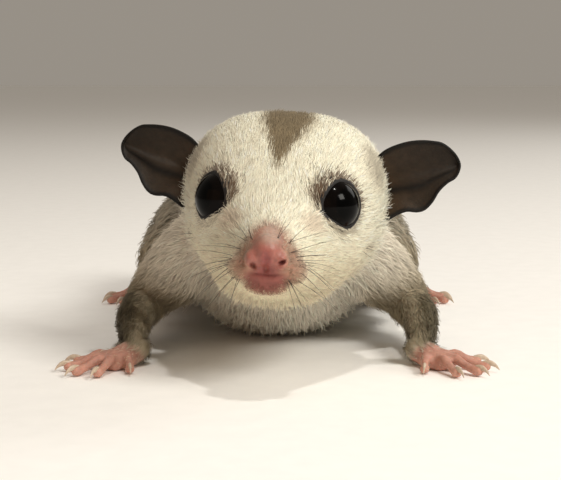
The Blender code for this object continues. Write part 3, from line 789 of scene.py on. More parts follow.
    def carve(self, points: np.ndarray, outward: np.ndarray) -> np.ndarray:
        """Sinks the nostrils, the philtrum and the line of the mouth in the skin.

        Args:
            points: The skin's vertices in the head's frame.
            outward: Their normals in the head's frame.

        Returns:
            The vertices, carved.
        """
        made = points.copy()
        for side in SIDES.values():
            depth = np.exp(-(self.in_nostril(points, side) ** 2) * 1.1)
            made[:, 1] += self.nostril_depth * np.where(points[:, 1] < -11.0, depth, 0.0)
            centre, radii = self.wing_groove
            groove = np.exp(-within(points, tuple(sided(centre, side)), radii) ** 2)
            made[:, 1] += 0.6 * groove
        front = eased(-points[:, 1], 11.5, 12.5)
        low, high, width = self.philtrum
        beside = np.exp(-(points[:, 0] / width) ** 2)
        span = eased(points[:, 2], low - 0.4, low + 0.4) * (1 - eased(points[:, 2], high - 0.5, high + 0.6))
        made[:, 1] += self.philtrum_depth * beside * span * front
        height = self.mouth_height(points)
        line = np.exp(-((points[:, 2] - height) / self.mouth_width) ** 2)
        line *= 1 - eased(points[:, 1], self.mouth_corner[0] - 2.0, self.mouth_corner[0])
        line *= 1 - 0.85 * eased(np.abs(points[:, 0]), *self.mouth_fade)
        return made - outward * (self.mouth_depth * line)[:, None]

    def in_nostril(self, points: np.ndarray, side: int) -> np.ndarray:
        """How far each point lies from the middle of a nostril, 1 at its rim."""
        centre, radii, slant = self.nostril_left if side > 0 else self.nostril_right
        turn = Matrix.Rotation(math.radians(-side * slant), 3, "Y")
        local = (points - np.array(centre)) @ np.array(turn)
        return np.linalg.norm(local / np.array(radii), axis=1)

    def mouth_height(self, points: np.ndarray) -> np.ndarray:
        """The height of the line of the mouth at each point, in the head's frame."""
        (front_y, front_z), (back_y, back_z) = self.mouth_front, self.mouth_corner
        slope = (back_z - front_z) / (back_y - front_y)
        rise = self.mouth_side_rise * (points[:, 0] / self.mouth_reach) ** 2
        return front_z + (points[:, 1] - front_y) * slope + rise


@dataclass
class Paw:
    """A hand or foot of the left side: a palm or sole on the floor, with digits and claws.

    Attributes:
        at: Where its heel stands.
        heading: Where it points, in degrees.
        pad: The middle and radii of its palm.
        root: Stations of the wrist or ankle.
        digits: Each as turn, length, start along, start across and thickness.
        clawless: Digits that have no claw.
    """

    region: Region
    at: tuple
    heading: float
    pad: tuple
    root: tuple
    digits: tuple
    clawless: tuple = ()
    course: tuple = ((-0.25, 1.5, 1.1), (0.1, 2.0, 0.92), (0.34, 1.95, 1.0), (0.6, 1.35, 0.82), (0.82, 1.0, 0.92),
                     (1.0, 0.85, 1.05))
    claw_course: tuple = ((-0.15, 1.2, 1.0), (0.3, 1.42, 0.85), (0.7, 1.12, 0.5), (1.0, 0.5, 0.12))
    claw_length: float = 2.1
    claw_radius: float = 0.4

    def place(self, side: int) -> Matrix:
        """From its own frame to the animal's, on one side."""
        turn = Matrix.Rotation(math.radians(self.heading), 4, "Z")
        flip = Matrix.Diagonal((side, 1, 1, 1))
        return flip @ Matrix.Translation(Vector(self.at)) @ turn

    def digit_point(self, digit: tuple, out: float, height: float) -> tuple:
        """A place on a digit's course, a distance out from its root and above the floor."""
        turn, _, start, across, _ = digit
        return (start + out * math.cos(math.radians(turn)), across + out * math.sin(math.radians(turn)), height)

    def build(self) -> bmesh.types.BMesh:
        """Builds the palm or sole, its pads and its digits as overlapping forms."""
        bm = bmesh.new()
        add_tube(bm, list(self.root), 24)
        add_ellipsoid(bm, *self.pad)
        for digit in self.digits:
            length, thick = digit[1], digit[4]
            course = [(self.digit_point(digit, length * s, z), thick * w) for s, z, w in self.course]
            add_tube(bm, course, 16, 3)
            ball = self.digit_point(digit, length * 0.97, 0.72)
            add_ellipsoid(bm, ball, (thick * 1.12, thick * 1.12, thick * 0.85))
            knuckle = self.digit_point(digit, -0.2, 0.9)
            add_ellipsoid(bm, knuckle, (1.15, 1.0, 0.95))
        return bm

    def build_claws(self, side: int) -> bmesh.types.BMesh:
        """Builds the claws of one paw, hooked over the tips of its digits."""
        bm = bmesh.new()
        for i, digit in enumerate(self.digits):
            if i in self.clawless:
                continue
            course = [(self.digit_point(digit, digit[1] + self.claw_length * s, z), self.claw_radius * w)
                      for s, z, w in self.claw_course]
            add_tube(bm, course, 10, 4, 1.35, 0.75)
        for vert in bm.verts:
            vert.co.z = max(vert.co.z, 0.02)
        bm.transform(self.place(side))
        return bm


HAND = Paw(
    Region.HAND, (22.4, 12.2, 0.0), -42.0, ((3.0, 0.0, 1.35), (3.5, 2.7, 1.7)),
    (((-0.8, 0.0, 2.4), 2.0), ((2.0, 0.0, 1.6), 2.0)),
    ((-58.0, 3.6, 2.4, -2.0, 0.74), (-26.0, 5.4, 4.6, -1.6, 0.78), (-4.0, 6.2, 5.0, -0.5, 0.80),
     (18.0, 5.8, 4.7, 0.8, 0.78), (44.0, 4.8, 3.4, 1.9, 0.74)),
)
FOOT = Paw(
    Region.FOOT, (21.2, 81.5, 0.0), -56.0, ((5.6, 0.0, 1.5), (6.6, 2.8, 1.9)),
    (((-0.6, 0.0, 2.2), 2.2), ((3.0, 0.0, 1.6), 2.2)),
    ((-62.0, 4.2, 3.6, -1.9, 1.05), (-15.0, 6.4, 10.2, -1.2, 0.78), (-5.0, 6.8, 10.6, -0.2, 0.78),
     (13.0, 7.0, 10.2, 0.9, 0.82), (32.0, 5.6, 8.6, 1.9, 0.78)),
    (0,),
)


@dataclass
class Body:
    """The flesh of the trunk, limbs, gliding membrane and tail."""

    trunk: tuple = (
        (8.0, 32.0, 17.0, 7.5),
        (14.0, 34.5, 12.0, 12.6),
        (21.0, 34.2, 6.5, 15.4),
        (28.0, 33.0, 2.0, 16.8),
        (36.0, 32.0, -0.8, 17.2),
        (46.0, 32.3, -1.4, 17.9),
        (56.0, 33.0, -1.5, 18.7),
        (66.0, 32.4, -1.4, 18.8),
        (75.0, 29.4, -1.0, 17.4),
        (83.0, 24.0, 0.0, 13.8),
        (89.0, 17.8, 1.4, 9.0),
        (93.0, 13.2, 3.2, 5.2),
    )
    trunk_power: float = 2.3
    trunk_coat: tuple = ((8.0, 0.7), (16.0, 1.2), (30.0, 2.0), (80.0, 2.0), (93.0, 1.2))
    limb_coat: float = 0.8
    limbs: tuple = (
        (Region.ARM, (((11.5, 25.5, 16.5), 7.2), ((16.5, 28.5, 12.5), 6.2), ((21.5, 32.0, 8.0), 4.3))),
        (Region.ARM, (((21.8, 31.0, 7.0), 4.0), ((23.2, 22.5, 5.4), 3.3), ((22.4, 13.0, 3.3), 2.4))),
        (Region.LEG, (((11.5, 78.0, 15.5), 9.5), ((16.5, 69.0, 13.8), 8.8), ((21.0, 61.5, 10.8), 5.8))),
        (Region.LEG, (((21.8, 60.5, 9.0), 5.0), ((22.0, 71.0, 6.6), 3.9), ((20.6, 80.5, 3.6), 2.8))),
    )
    fold_span: tuple = (33.0, 61.0)
    fold_root: tuple = (15.0, 16.0)
    fold_belly: tuple = (21.2, 10.5)
    fold_edge: tuple = (20.6, 3.6)
    fold_thickness: float = 1.3
    fold_waves: float = 2.5
    fold_wave_height: float = 0.9
    tail_points: tuple = ((0.0, 90.0, 9.6), (2.0, 106.0, 6.8), (5.6, 121.5, 6.2), (8.2, 137.0, 6.0),
                          (8.8, 153.0, 5.6), (7.6, 169.0, 4.7), (4.8, 184.0, 2.6))
    tail_core: tuple = (3.8, 3.5, 3.3, 3.2, 3.0, 2.4, 1.2)

    def add_trunk(self, bm: bmesh.types.BMesh) -> None:
        """Adds the neck and trunk, inset by the depth of the coat."""
        rings = []
        steps = 4 * (len(self.trunk) - 1)
        for i in range(steps + 1):
            y, top, bottom, half = (between([row[k] for row in self.trunk], i / steps) for k in range(4))
            coat = on_table(self.trunk_coat, y)
            middle = Vector((0.0, y, (top + bottom) / 2))
            tall = (top - bottom) / 2 - coat
            rings.append(add_ring(bm, middle, Vector((1, 0, 0)), UP, half - coat, tall, tall, 72,
                                  (self.trunk_power, self.trunk_power)))
        skin_rings(bm, rings)

    def add_fold(self, bm: bmesh.types.BMesh, side: int) -> None:
        """Adds the gathered gliding membrane: a wavy curtain down the flank."""
        rings = []
        steps, columns = 36, 12
        for step in range(steps + 1):
            share = step / steps
            y = self.fold_span[0] + (self.fold_span[1] - self.fold_span[0]) * share
            wave = self.fold_wave_height * math.sin(math.tau * self.fold_waves * share)
            hang = math.sin(math.pi * min(max(share, 0.04), 0.96)) ** 0.5
            low = self.fold_belly[1] + (self.fold_edge[1] - self.fold_belly[1]) * hang
            middle = [Vector((self.fold_root[0], y, self.fold_root[1])),
                      Vector((self.fold_belly[0] + wave / 2, y, self.fold_belly[1])),
                      Vector((self.fold_edge[0] + wave, y, low))]
            line = [between(middle, i / columns) for i in range(columns + 1)]
            outer, inner = [], []
            for i, spot in enumerate(line):
                down = (line[min(i + 1, columns)] - line[max(i - 1, 0)]).normalized()
                out = Vector((-down.z, 0.0, down.x)) * self.fold_thickness / 2
                outer.append(spot + out)
                inner.append(spot - out)
            corners = [*outer, *reversed(inner)]
            ring = bmesh.ops.create_circle(bm, segments=len(corners), radius=1.0)["verts"]
            for vert, corner in zip(ring, corners):
                vert.co = Vector((side * corner.x, corner.y, corner.z))
            rings.append(ring)
        skin_rings(bm, rings)

    def build(self) -> bmesh.types.BMesh:
        """Builds all of the body as closed, overlapping forms."""
        bm = bmesh.new()
        self.add_trunk(bm)
        for side in SIDES.values():
            for _, stations in self.limbs:
                add_tube(bm, [(sided(p, side), r - self.limb_coat) for p, r in stations], 28)
            self.add_fold(bm, side)
            for paw in (HAND, FOOT):
                part = paw.build()
                part.transform(paw.place(side))
                held = bpy.data.meshes.new("paw")
                part.to_mesh(held)
                part.free()
                bm.from_mesh(held)
        add_tube(bm, list(zip(self.tail_points, self.tail_core)), 28)
        return bm

    def stretches(self, frame: Frame) -> list:
        """The stretches of both sides, for the coat's regions."""
        head = [frame.head @ Vector(p) for p in ((0, -9, -8.5), (0, 0, -3), (0, 9, -0.5), (0, 15, -1))]
        made = [Stretch(Region.HEAD, tuple(tuple(p) for p in head), (4.5, 10.0, 13.5, 11.5))]
        rows = self.trunk[2:]
        made.append(Stretch(Region.TRUNK, tuple((0.0, y, (top + low) / 2) for y, top, low, _ in rows),
                            tuple((half + (top - low) / 2) / 2 for _, top, low, half in rows)))
        made.append(Stretch(Region.TAIL, self.tail_points, self.tail_core))
        for side in SIDES.values():
            for region, stations in self.limbs:
                made.append(Stretch(region, tuple(tuple(sided(p, side)) for p, _ in stations),
                                    tuple(r - self.limb_coat for _, r in stations)))
            fold = [(side * 20.5, y, 7.5) for y in (self.fold_span[0] + 3, self.fold_span[1] - 3)]
            made.append(Stretch(Region.FOLD, tuple(fold), (2.2, 2.2)))
            for paw in (HAND, FOOT):
                ends = [paw.place(side) @ Vector(p) for p in ((2.0, 0.0, 1.3), (paw.pad[1][0] * 2.6, 0.0, 0.8))]
                made.append(Stretch(paw.region, tuple(tuple(p) for p in ends), (2.0, 3.4)))
        return made


@dataclass
class Lie:
    """Where each region begins, and which way the coat lies there."""

    frame: Frame
    stretches: list
    blend: float = 1.3
    nose: tuple = (0.0, -13.0, -8.5)

    def weights(self, points: np.ndarray) -> tuple:
        """Shares out each point among the regions.

        Args:
            points: Rows in the animal's millimetres.

        Returns:
            The share of each region, and the way that the stretches run, weighted alike.
        """
        shares = {region: np.zeros(len(points)) for region in Region}
        ways = np.zeros_like(points)
        measured = [(s.region, *s.closeness(points)) for s in self.stretches]
        nearest = np.min([gap for _, gap, _ in measured], axis=0)
        for region, gap, way in measured:
            share = np.exp(-(gap - nearest) / self.blend)
            shares[region] += share
            if region not in (Region.HEAD, Region.TRUNK, Region.FOLD):
                ways += way * share[:, None]
        total = sum(shares.values())
        return {region: share / total for region, share in shares.items()}, ways / total[:, None]

    def flow(self, points: np.ndarray, outward: np.ndarray, shares: dict, ways: np.ndarray) -> np.ndarray:
        """Works out which way the hair points.

        Args:
            points: Rows in the animal's millimetres.
            outward: The skin's normals there.
            shares: Each region's share.
            ways: The way that limbs and tail run.

        Returns:
            A direction in the surface for each point.
        """
        head = self.frame.in_head(points)
        fan = head - np.array(self.nose)
        fan = unit(fan) + np.array((0.0, 0.35, 0.12)) * eased(head[:, 1:2], -8.0, 6.0)
        for side in SIDES.values():
            eye = head - np.array((side * 8.0, -1.0, 0.0))
            away = np.exp(-(np.linalg.norm(eye, axis=1) / 6.3) ** 6)[:, None]
            fan += unit(eye) * away * 1.25
        fan = moved(fan, self.frame.head.to_3x3().to_4x4())
        back = np.zeros_like(points)
        back[:, 1] = 1.0
        back[:, 2] = -0.35 * eased(np.abs(points[:, 0]), 8.0, 18.0)
        down = back * np.array((1.0, 0.6, 1.0)) + np.array((0.0, 0.0, -0.9))
        made = fan * shares[Region.HEAD][:, None] + back * shares[Region.TRUNK][:, None]
        made += down * shares[Region.FOLD][:, None] + ways
        return along_surface(made, outward)


# Markings

@dataclass
class Markings:
    """The colours of skin and coat, worked out alike for both."""

    frame: Frame
    head: Head
    cream: str = "#f9f2db"
    # Mostly painted shade towards the chin, with some of the coat's own warmer tone.
    painted_chin_shade: str = "#f2d9ac"
    neck: str = "#f3e9d6"
    wedge: str = "#807157"
    back: str = "#968f82"
    flank: str = "#b0a796"
    stripe: str = "#40372c"
    limb: str = "#a89a80"
    limb_stripe: str = "#5b5139"
    belly: str = "#efe6d0"
    tail: str = "#8f8676"
    tail_tip: str = "#39322b"
    eye_patch: str = "#553c26"
    lid: str = "#0e0908"
    muzzle: str = "#a9806c"
    bridge: str = "#92685a"
    # A painted highlight on the ridge of the nose, pale grey-pink.
    ridge_highlight: str = "#bba294"
    nose: str = "#a2665b"
    nose_red: str = "#8b3539"
    lip: str = "#88443f"
    # Partly the nostrils' own red lining, partly painted shade inside the openings.
    nostril: str = "#56191a"
    # Painted shade for the crease of the mouth.
    mouth: str = "#6a2c29"
    palm: str = "#c69280"
    paw_back: str = "#b78676"
    whisker_spots: tuple = ((3.3, -11.4, -5.6), (4.0, -11.2, -6.7), (4.7, -10.4, -7.7), (5.1, -9.8, -8.9),
                            (4.2, -11.0, -9.0), (4.8, -10.3, -10.1), (3.9, -11.2, -10.6))

    def coat(self, points: np.ndarray, shares: dict) -> np.ndarray:
        """Colours the coat.

        Args:
            points: Rows in the animal's millimetres.
            shares: Each region's share there.

        Returns:
            Linear colours as rows.
        """
        head = self.frame.in_head(points)
        x, y, z = points[:, 0], points[:, 1], points[:, 2]
        wide = np.abs(x)

        def lay(colours: np.ndarray, code: str, amount: np.ndarray) -> np.ndarray:
            """Lays a colour over others by an amount."""
            return colours + (np.array(linear(code)) - colours) * amount[:, None]

        made = np.tile(np.array(linear(self.cream)), (len(points), 1))
        # Painted shade: the cream made warmer and darker towards the chin and under the jaw, mostly standing in for
        # shade there, with some of the coat's own warmer tone.
        made = lay(made, self.painted_chin_shade, 0.6 * eased(-head[:, 2], 2.0, 14.0))
        made = lay(made, self.neck, eased(head[:, 1], 7.0, 14.0) * (1 - eased(head[:, 2], -2.0, 4.0)))
        low = 11.0 - 3.5 * eased(y, 34.0, 46.0)
        body = np.maximum(eased(y, 19.0, 29.0) * eased(z, 25.0, 30.0), eased(y, 32.0, 48.0) * eased(z - low, 0.0, 6.0))
        made = lay(made, self.back, body)
        made = lay(made, self.flank, 0.6 * body * eased(wide, 9.0, 16.0))
        made = lay(made, self.belly, eased(y, 30.0, 40.0) * (1 - eased(z, 6.0, 11.0)))
        limbs = shares[Region.ARM] + shares[Region.LEG]
        front = 1 - (1 - eased(y, 19.0, 29.0)) * eased(z, 7.5, 12.0)
        made = lay(made, self.limb, front * eased(limbs, 0.2, 0.8) * (1 - 0.7 * eased(z, 10.0, 18.0)))
        made = lay(made, self.limb_stripe, 0.9 * eased(limbs, 0.2, 0.8) * eased(wide, 21.4, 23.6) * (1 - eased(z, 8.0, 14.0)))
        edge = np.exp(-((z - 7.8) / 2.3) ** 2) * eased(wide, 13.0, 16.5) * eased(y, 29.0, 37.0) * (1 - eased(y, 58.0, 66.0))
        made = lay(made, self.limb_stripe, 0.85 * edge)
        made = lay(made, self.tail, eased(y, 84.0, 92.0))
        made = lay(made, self.tail_tip, 0.95 * eased(y, 135.0, 176.0))
        forehead = 0.45 + 3.9 * eased(head[:, 2], 2.8, 13.5) * np.where(head[:, 0] > 0, 1.22, 1.0)
        spine = 3.9 - 0.8 * eased(y, 16.0, 34.0) + 0.3 * eased(y, 50.0, 70.0) - 2.0 * eased(y, 76.0, 96.0)
        half = np.where(head[:, 1] < 6.0, forehead, spine)
        centre = np.where(y < 30.0, head[:, 0] * (1 - eased(y, 14.0, 26.0)) + x * eased(y, 14.0, 26.0), x)
        upper = eased(head[:, 2], 2.6, 4.2) * (y < 20.0) + eased(z, 17.0, 24.0) * (y >= 20.0) * (y < 98.0)
        band = (1 - eased(np.abs(centre), half * 0.65, half * 1.25)) * upper
        made = lay(made, self.wedge, band)
        made = lay(made, self.stripe, 0.85 * band * eased(y, 10.0, 24.0))
        return self.face(made, head, lay)

    def face(self, made: np.ndarray, head: np.ndarray, lay) -> np.ndarray:
        """Lays the dark marks of the face over its cream, the pink about the nose, a painted highlight on the ridge of
        the nose and painted shade in the hollows beside it.

        Args:
            made: The colours so far.
            head: The points in the head's frame.
            lay: Lays a colour by an amount.

        Returns:
            The colours with the marks.
        """
        made = lay(made, self.muzzle, 0.85 * self.pinkness(head))
        # Painted highlight along the ridge of the nose.
        made = self.painted_ridge_highlight(made, head, lay)
        lip = within(head, (0.0, -12.2, -11.2), (3.0, 3.0, 1.8))
        made = lay(made, self.lip, 0.75 * (1 - eased(lip, 0.5, 1.3)))
        for side in SIDES.values():
            patch = within(head, (side * 6.1, -4.0, 1.0), (0.95, 2.1, 2.4))
            made = lay(made, self.eye_patch, 0.8 * (1 - eased(patch, 0.35, 1.3)))
            eye = np.linalg.norm(head - np.array(sided(self.head.eye_at, side)), axis=1)
            above = 0.45 + 0.45 * eased(head[:, 2], -3.0, 1.0)
            made = lay(made, self.eye_patch, above * (1 - eased(eye, 4.35, 4.8)))
            under = within(head, (side * 5.0, -6.0, -3.6), (1.9, 2.4, 1.5))
            made = lay(made, self.muzzle, 0.35 * (1 - eased(under, 0.5, 1.3)))
            ear = within(head, (side * 12.9, 5.8, 5.2), (2.6, 3.0, 4.2))
            made = lay(made, self.eye_patch, 0.45 * (1 - eased(ear, 0.5, 1.25)))
            cheek = within(head, (side * 13.0, 4.5, -6.3), (0.7, 1.2, 0.7))
            made = lay(made, self.eye_patch, 0.7 * (1 - eased(cheek, 0.5, 1.3)))
            for spot in self.whisker_spots:
                gap = within(head, (side * spot[0], *spot[1:]), (0.5, 1.3, 0.5))
                made = lay(made, self.eye_patch, 0.7 * (1 - eased(gap, 0.3, 1.3)))
            # Painted shade in the hollows beside the bridge of the nose, in the colour of the eye patches.
            bridge_shadow = within(head, (side * 3.2, -12.6, -7.0), (1.1, 2.6, 2.6))
            made = lay(made, self.eye_patch, 0.42 * (1 - eased(bridge_shadow, 0.3, 1.2)))
        return made

    def painted_ridge_highlight(self, made: np.ndarray, head: np.ndarray, lay) -> np.ndarray:
        """Lays a painted highlight along the ridge that runs up from the nose: pale grey-pink, a little towards the
        animal's left.
        """
        ridge_highlight = within(head, (0.3, -11.0, -4.9), (1.6, 4.4, 2.3))
        return lay(made, self.ridge_highlight, 0.7 * (1 - eased(ridge_highlight, 0.4, 1.2)))

    def pinkness(self, head: np.ndarray) -> np.ndarray:
        """How pink each place about the nose and mouth is, from 0 to 1."""
        bridge = within(head, (0.0, -12.0, -6.2), (3.5, 5.0, 3.9))
        sides = within(head, (0.3, -12.6, -8.7), (6.3, 5.2, 4.0))
        chin = within(head, (0.0, -11.8, -11.2), (3.5, 3.4, 2.0))
        return 1 - eased(np.minimum(np.minimum(bridge, sides), chin), 0.62, 1.18)

    def skin(self, points: np.ndarray, shares: dict) -> tuple:
        """Colours the skin: the coat's colours under it, a tenth darker as painted shade, pink where it is bare.

        Args:
            points: Rows in the animal's millimetres.
            shares: Each region's share there.

        Returns:
            Linear colours as rows, and how moist each place is, from 0 to 1.
        """
        head = self.frame.in_head(points)
        # Painted shade: the skin under the coat a tenth darker than the coat.
        made = self.coat(points, shares) * 0.9

        def lay(colours: np.ndarray, code: str, amount: np.ndarray) -> np.ndarray:
            """Lays a colour over others by an amount."""
            return colours + (np.array(linear(code)) - colours) * amount[:, None]

        made = lay(made, self.muzzle, self.pinkness(head))
        bridge = within(head, (0.0, -12.2, -5.6), (2.6, 3.4, 2.6))
        made = lay(made, self.bridge, 0.9 * (1 - eased(bridge, 0.6, 1.2)))
        pad = within(head, (0.0, -14.0, -8.0), (3.1, 2.8, 2.4))
        made = lay(made, self.nose, 1 - eased(pad, 0.7, 1.15))
        middle = within(head, (0.0, -15.0, -8.8), (1.1, 2.6, 2.5))
        made = lay(made, self.nose_red, 0.8 * (1 - eased(middle, 0.2, 1.3)))
        under = within(head, (0.0, -13.8, -9.9), (2.7, 2.6, 1.1))
        made = lay(made, self.nose_red, 0.45 * (1 - eased(under, 0.4, 1.3)))
        # Painted highlight along the ridge of the nose.
        made = self.painted_ridge_highlight(made, head, lay)
        central = 1 - eased(np.abs(head[:, 0]), 1.0, 3.2)
        below = within(head, (0.0, -12.2, -11.1), (3.3, 3.0, 1.7))
        made = lay(made, self.lip, 0.85 * (1 - eased(below, 0.6, 1.25)))
        # Painted shade along the crease of the mouth, dark red.
        line = np.exp(-((head[:, 2] - self.head.mouth_height(head)) / 0.22) ** 2) * (head[:, 1] < 0) * central
        made = lay(made, self.mouth, 0.4 * line)
        for side in SIDES.values():
            # The nostrils' dark red: partly the lining's own red, partly painted shade inside the openings.
            made = lay(made, self.nostril, 0.9 * (1 - eased(self.head.in_nostril(head, side), 0.5, 1.4)))
            eye = np.linalg.norm(head - np.array(sided(self.head.eye_at, side)), axis=1)
            made = lay(made, self.lid, 1 - eased(eye, 4.3, 4.6))
        paws = eased(shares[Region.HAND] + shares[Region.FOOT], 0.35, 0.7)
        made = lay(made, self.paw_back, paws)
        made = lay(made, self.palm, paws * (1 - eased(points[:, 2], 0.6, 2.0)))
        return made, 1 - eased(pad, 0.8, 1.2)


# The skin

@dataclass
class Skin:
    """One skin over all the flesh."""

    frame: Frame
    head: Head
    body: Body
    voxel: float = 0.3
    smoothing: int = 7
    kept: float = 0.37
    fine_share: float = 0.28
    name: str = "skin"
    replaced: tuple = ("head", "lower_jaw", "nose", "neck", "torso", "tail_1", "tail_2", "tail_3", "tail_4")
    replaced_pairs: tuple = ("upper_arm", "forearm", "hand", "thigh", "shank", "foot", "patagium")

    def fuse(self) -> bpy.types.Object:
        """Fuses the masses of head and body in one closed surface."""
        bm = self.body.build()
        part = self.head.build(self.frame)
        held = bpy.data.meshes.new("head")
        part.to_mesh(held)
        part.free()
        bm.from_mesh(held)
        bmesh.ops.recalc_face_normals(bm, faces=bm.faces)
        item = add_object(self.name, bm)
        remesh = item.modifiers.new("fuse", "REMESH")
        remesh.mode = "VOXEL"
        remesh.voxel_size = self.voxel
        smooth = item.modifiers.new("smooth", "SMOOTH")
        smooth.iterations = self.smoothing
        smooth.factor = 0.5
        return bake(item)

    def refine(self, item: bpy.types.Object) -> None:
        """Halves the faces of the nose and mouth, where the finest forms are."""
        bm = bmesh.new()
        bm.from_mesh(item.data)
        inverse = self.frame.head.inverted()
        fine = []
        for face in bm.faces:
            spot = inverse @ face.calc_center_median()
            if spot.y < -9.5 and abs(spot.x) < 4.5:
                fine.append(face)
        edges = list({e for f in fine for e in f.edges})
        bmesh.ops.subdivide_edges(bm, edges=edges, cuts=1, use_grid_fill=True, smooth=0.0)
        bmesh.ops.triangulate(bm, faces=[f for f in bm.faces if len(f.verts) > 4])
        bm.to_mesh(item.data)
        bm.free()

    def thin(self, item: bpy.types.Object) -> None:
        """Thins the mesh where the coat hides it, and keeps the face and paws fine."""
        points = vertices(item.data)
        head = self.frame.in_head(points)
        face = 1 - eased(head[:, 1], 1.0, 6.0)
        paws = np.zeros(len(points))
        for side in SIDES.values():
            for paw in (HAND, FOOT):
                ends = paw.place(side) @ Vector((5.0, 0.0, 1.0))
                paws = np.maximum(paws, 1 - eased(np.linalg.norm(points - np.array(ends), axis=1), 8.0, 10.0))
        loose = 1 - np.maximum(face, paws * 0.9)
        group = item.vertex_groups.new(name="loose")
        for level in range(11):
            chosen = np.nonzero(np.round(loose * 10) == level)[0]
            if len(chosen):
                group.add([int(i) for i in chosen], level / 10, "REPLACE")
        decimate = item.modifiers.new("thin", "DECIMATE")
        decimate.ratio = self.kept
        decimate.vertex_group = "loose"
        decimate.vertex_group_factor = 2.0
        bake(item)

    def build(self) -> bpy.types.Object:
        """Builds the skin, still in the animal's millimetres."""
        item = self.fuse()
        self.refine(item)
        points = vertices(item.data)
        turn = self.frame.head.to_3x3().inverted().to_4x4()
        carved = self.head.carve(self.frame.in_head(points), moved(normals(item.data), turn))
        points = self.frame.from_head(carved)
        points[:, 2] = np.maximum(points[:, 2], 0.03)
        set_vertices(item.data, points)
        self.thin(item)
        item.vertex_groups.clear()
        item.data.shade_smooth()
        return item

    def dress(self, item: bpy.types.Object, lie: Lie, markings: Markings) -> None:
        """Colours the skin, takes it to metres and puts it on the frame."""
        points = vertices(item.data)
        shares, _ = lie.weights(points)
        colours, moisture = markings.skin(points, shares)
        paint(item.data, "markings", colours)
        item.data.attributes.new("moisture", "FLOAT", "POINT").data.foreach_set("value", moisture.astype(np.float32))
        item.data.transform(self.frame.world())
        item.data.materials.append(SkinFinish().make())
        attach(item, "root")
        nodes = [*self.replaced, *(f"{node}_{side}" for node in self.replaced_pairs for side in SIDES)]
        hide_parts(*nodes)
        log.info("%s: %d faces", item.name, len(item.data.polygons))


# The coat

@dataclass
class Unwrap:
    """An unwrap of the skin's own shape, which says where a tuft's patch lies."""

    faces_kept: float = 0.03
    margin: float = 0.002

    def build(self, skin: bpy.types.Object) -> None:
        """Thins a copy of the skin and unwraps it."""
        copy = bpy.data.objects.new("unwrap", skin.data.copy())
        bpy.context.scene.collection.objects.link(copy)
        decimate = copy.modifiers.new("thin", "DECIMATE")
        decimate.ratio = self.faces_kept
        bake(copy)
        bpy.context.view_layer.objects.active = copy
        copy.select_set(True)
        bpy.ops.object.mode_set(mode="EDIT")
        bpy.ops.mesh.select_all(action="SELECT")
        bpy.ops.uv.smart_project(angle_limit=math.radians(66), island_margin=self.margin)
        bpy.ops.object.mode_set(mode="OBJECT")
        mesh = copy.data
        mesh.calc_loop_triangles()
        flat = np.empty(len(mesh.uv_layers.active.data) * 2, dtype=np.float32)
        mesh.uv_layers.active.data.foreach_get("uv", flat)
        spread = flat.reshape(-1, 2)
        self.corners = vertices(mesh)
        loops = np.array([t.loops for t in mesh.loop_triangles])
        self.faces = np.array([t.vertices for t in mesh.loop_triangles])
        self.places = spread[loops]
        self.tree = BVHTree.FromPolygons(self.corners.tolist(), self.faces.tolist())
        bpy.data.objects.remove(copy)

    def find(self, points: np.ndarray) -> np.ndarray:
        """The place of each point on the unwrap."""
        hits = [self.tree.find_nearest(p) for p in points.tolist()]
        index = np.array([hit[2] for hit in hits])
        spots = np.array([tuple(hit[0]) for hit in hits])
        a, b, c = (self.corners[self.faces[index, k]] for k in range(3))
        whole = np.cross(b - a, c - a)
        area = np.maximum(np.sum(whole * whole, axis=1), 1e-12)
        second = np.sum(np.cross(spots - a, c - a) * whole, axis=1) / area
        third = np.sum(np.cross(b - a, spots - a) * whole, axis=1) / area
        parts = np.stack([1 - second - third, second, third], axis=1)
        return np.einsum("nk,nkc->nc", parts, self.places[index])


@dataclass
class Growth:
    """A share of the coat whose strands are built alike.

    Attributes:
        name: The start of its pieces' names.
        count: How many strands it has.
        levels: Where each strand has its rings and its tip, as shares of its length.
        widths: How wide each ring is, as a share of the strand's width.
        on_head: Whether it grows on the head, or else on the rest.
    """

    name: str
    count: int
    levels: tuple
    widths: tuple
    on_head: bool

    def faces(self) -> int:
        """How many triangles a strand has."""
        return 4 + 6 * (len(self.widths) - 1)


GROWTHS = (
    Growth("face_coat", 84000, (0.0, 0.5, 1.0), (0.9, 0.8), True),
    Growth("body_coat", 40000, (0.0, 0.38, 0.72, 1.0), (0.85, 1.0, 0.62), False),
)


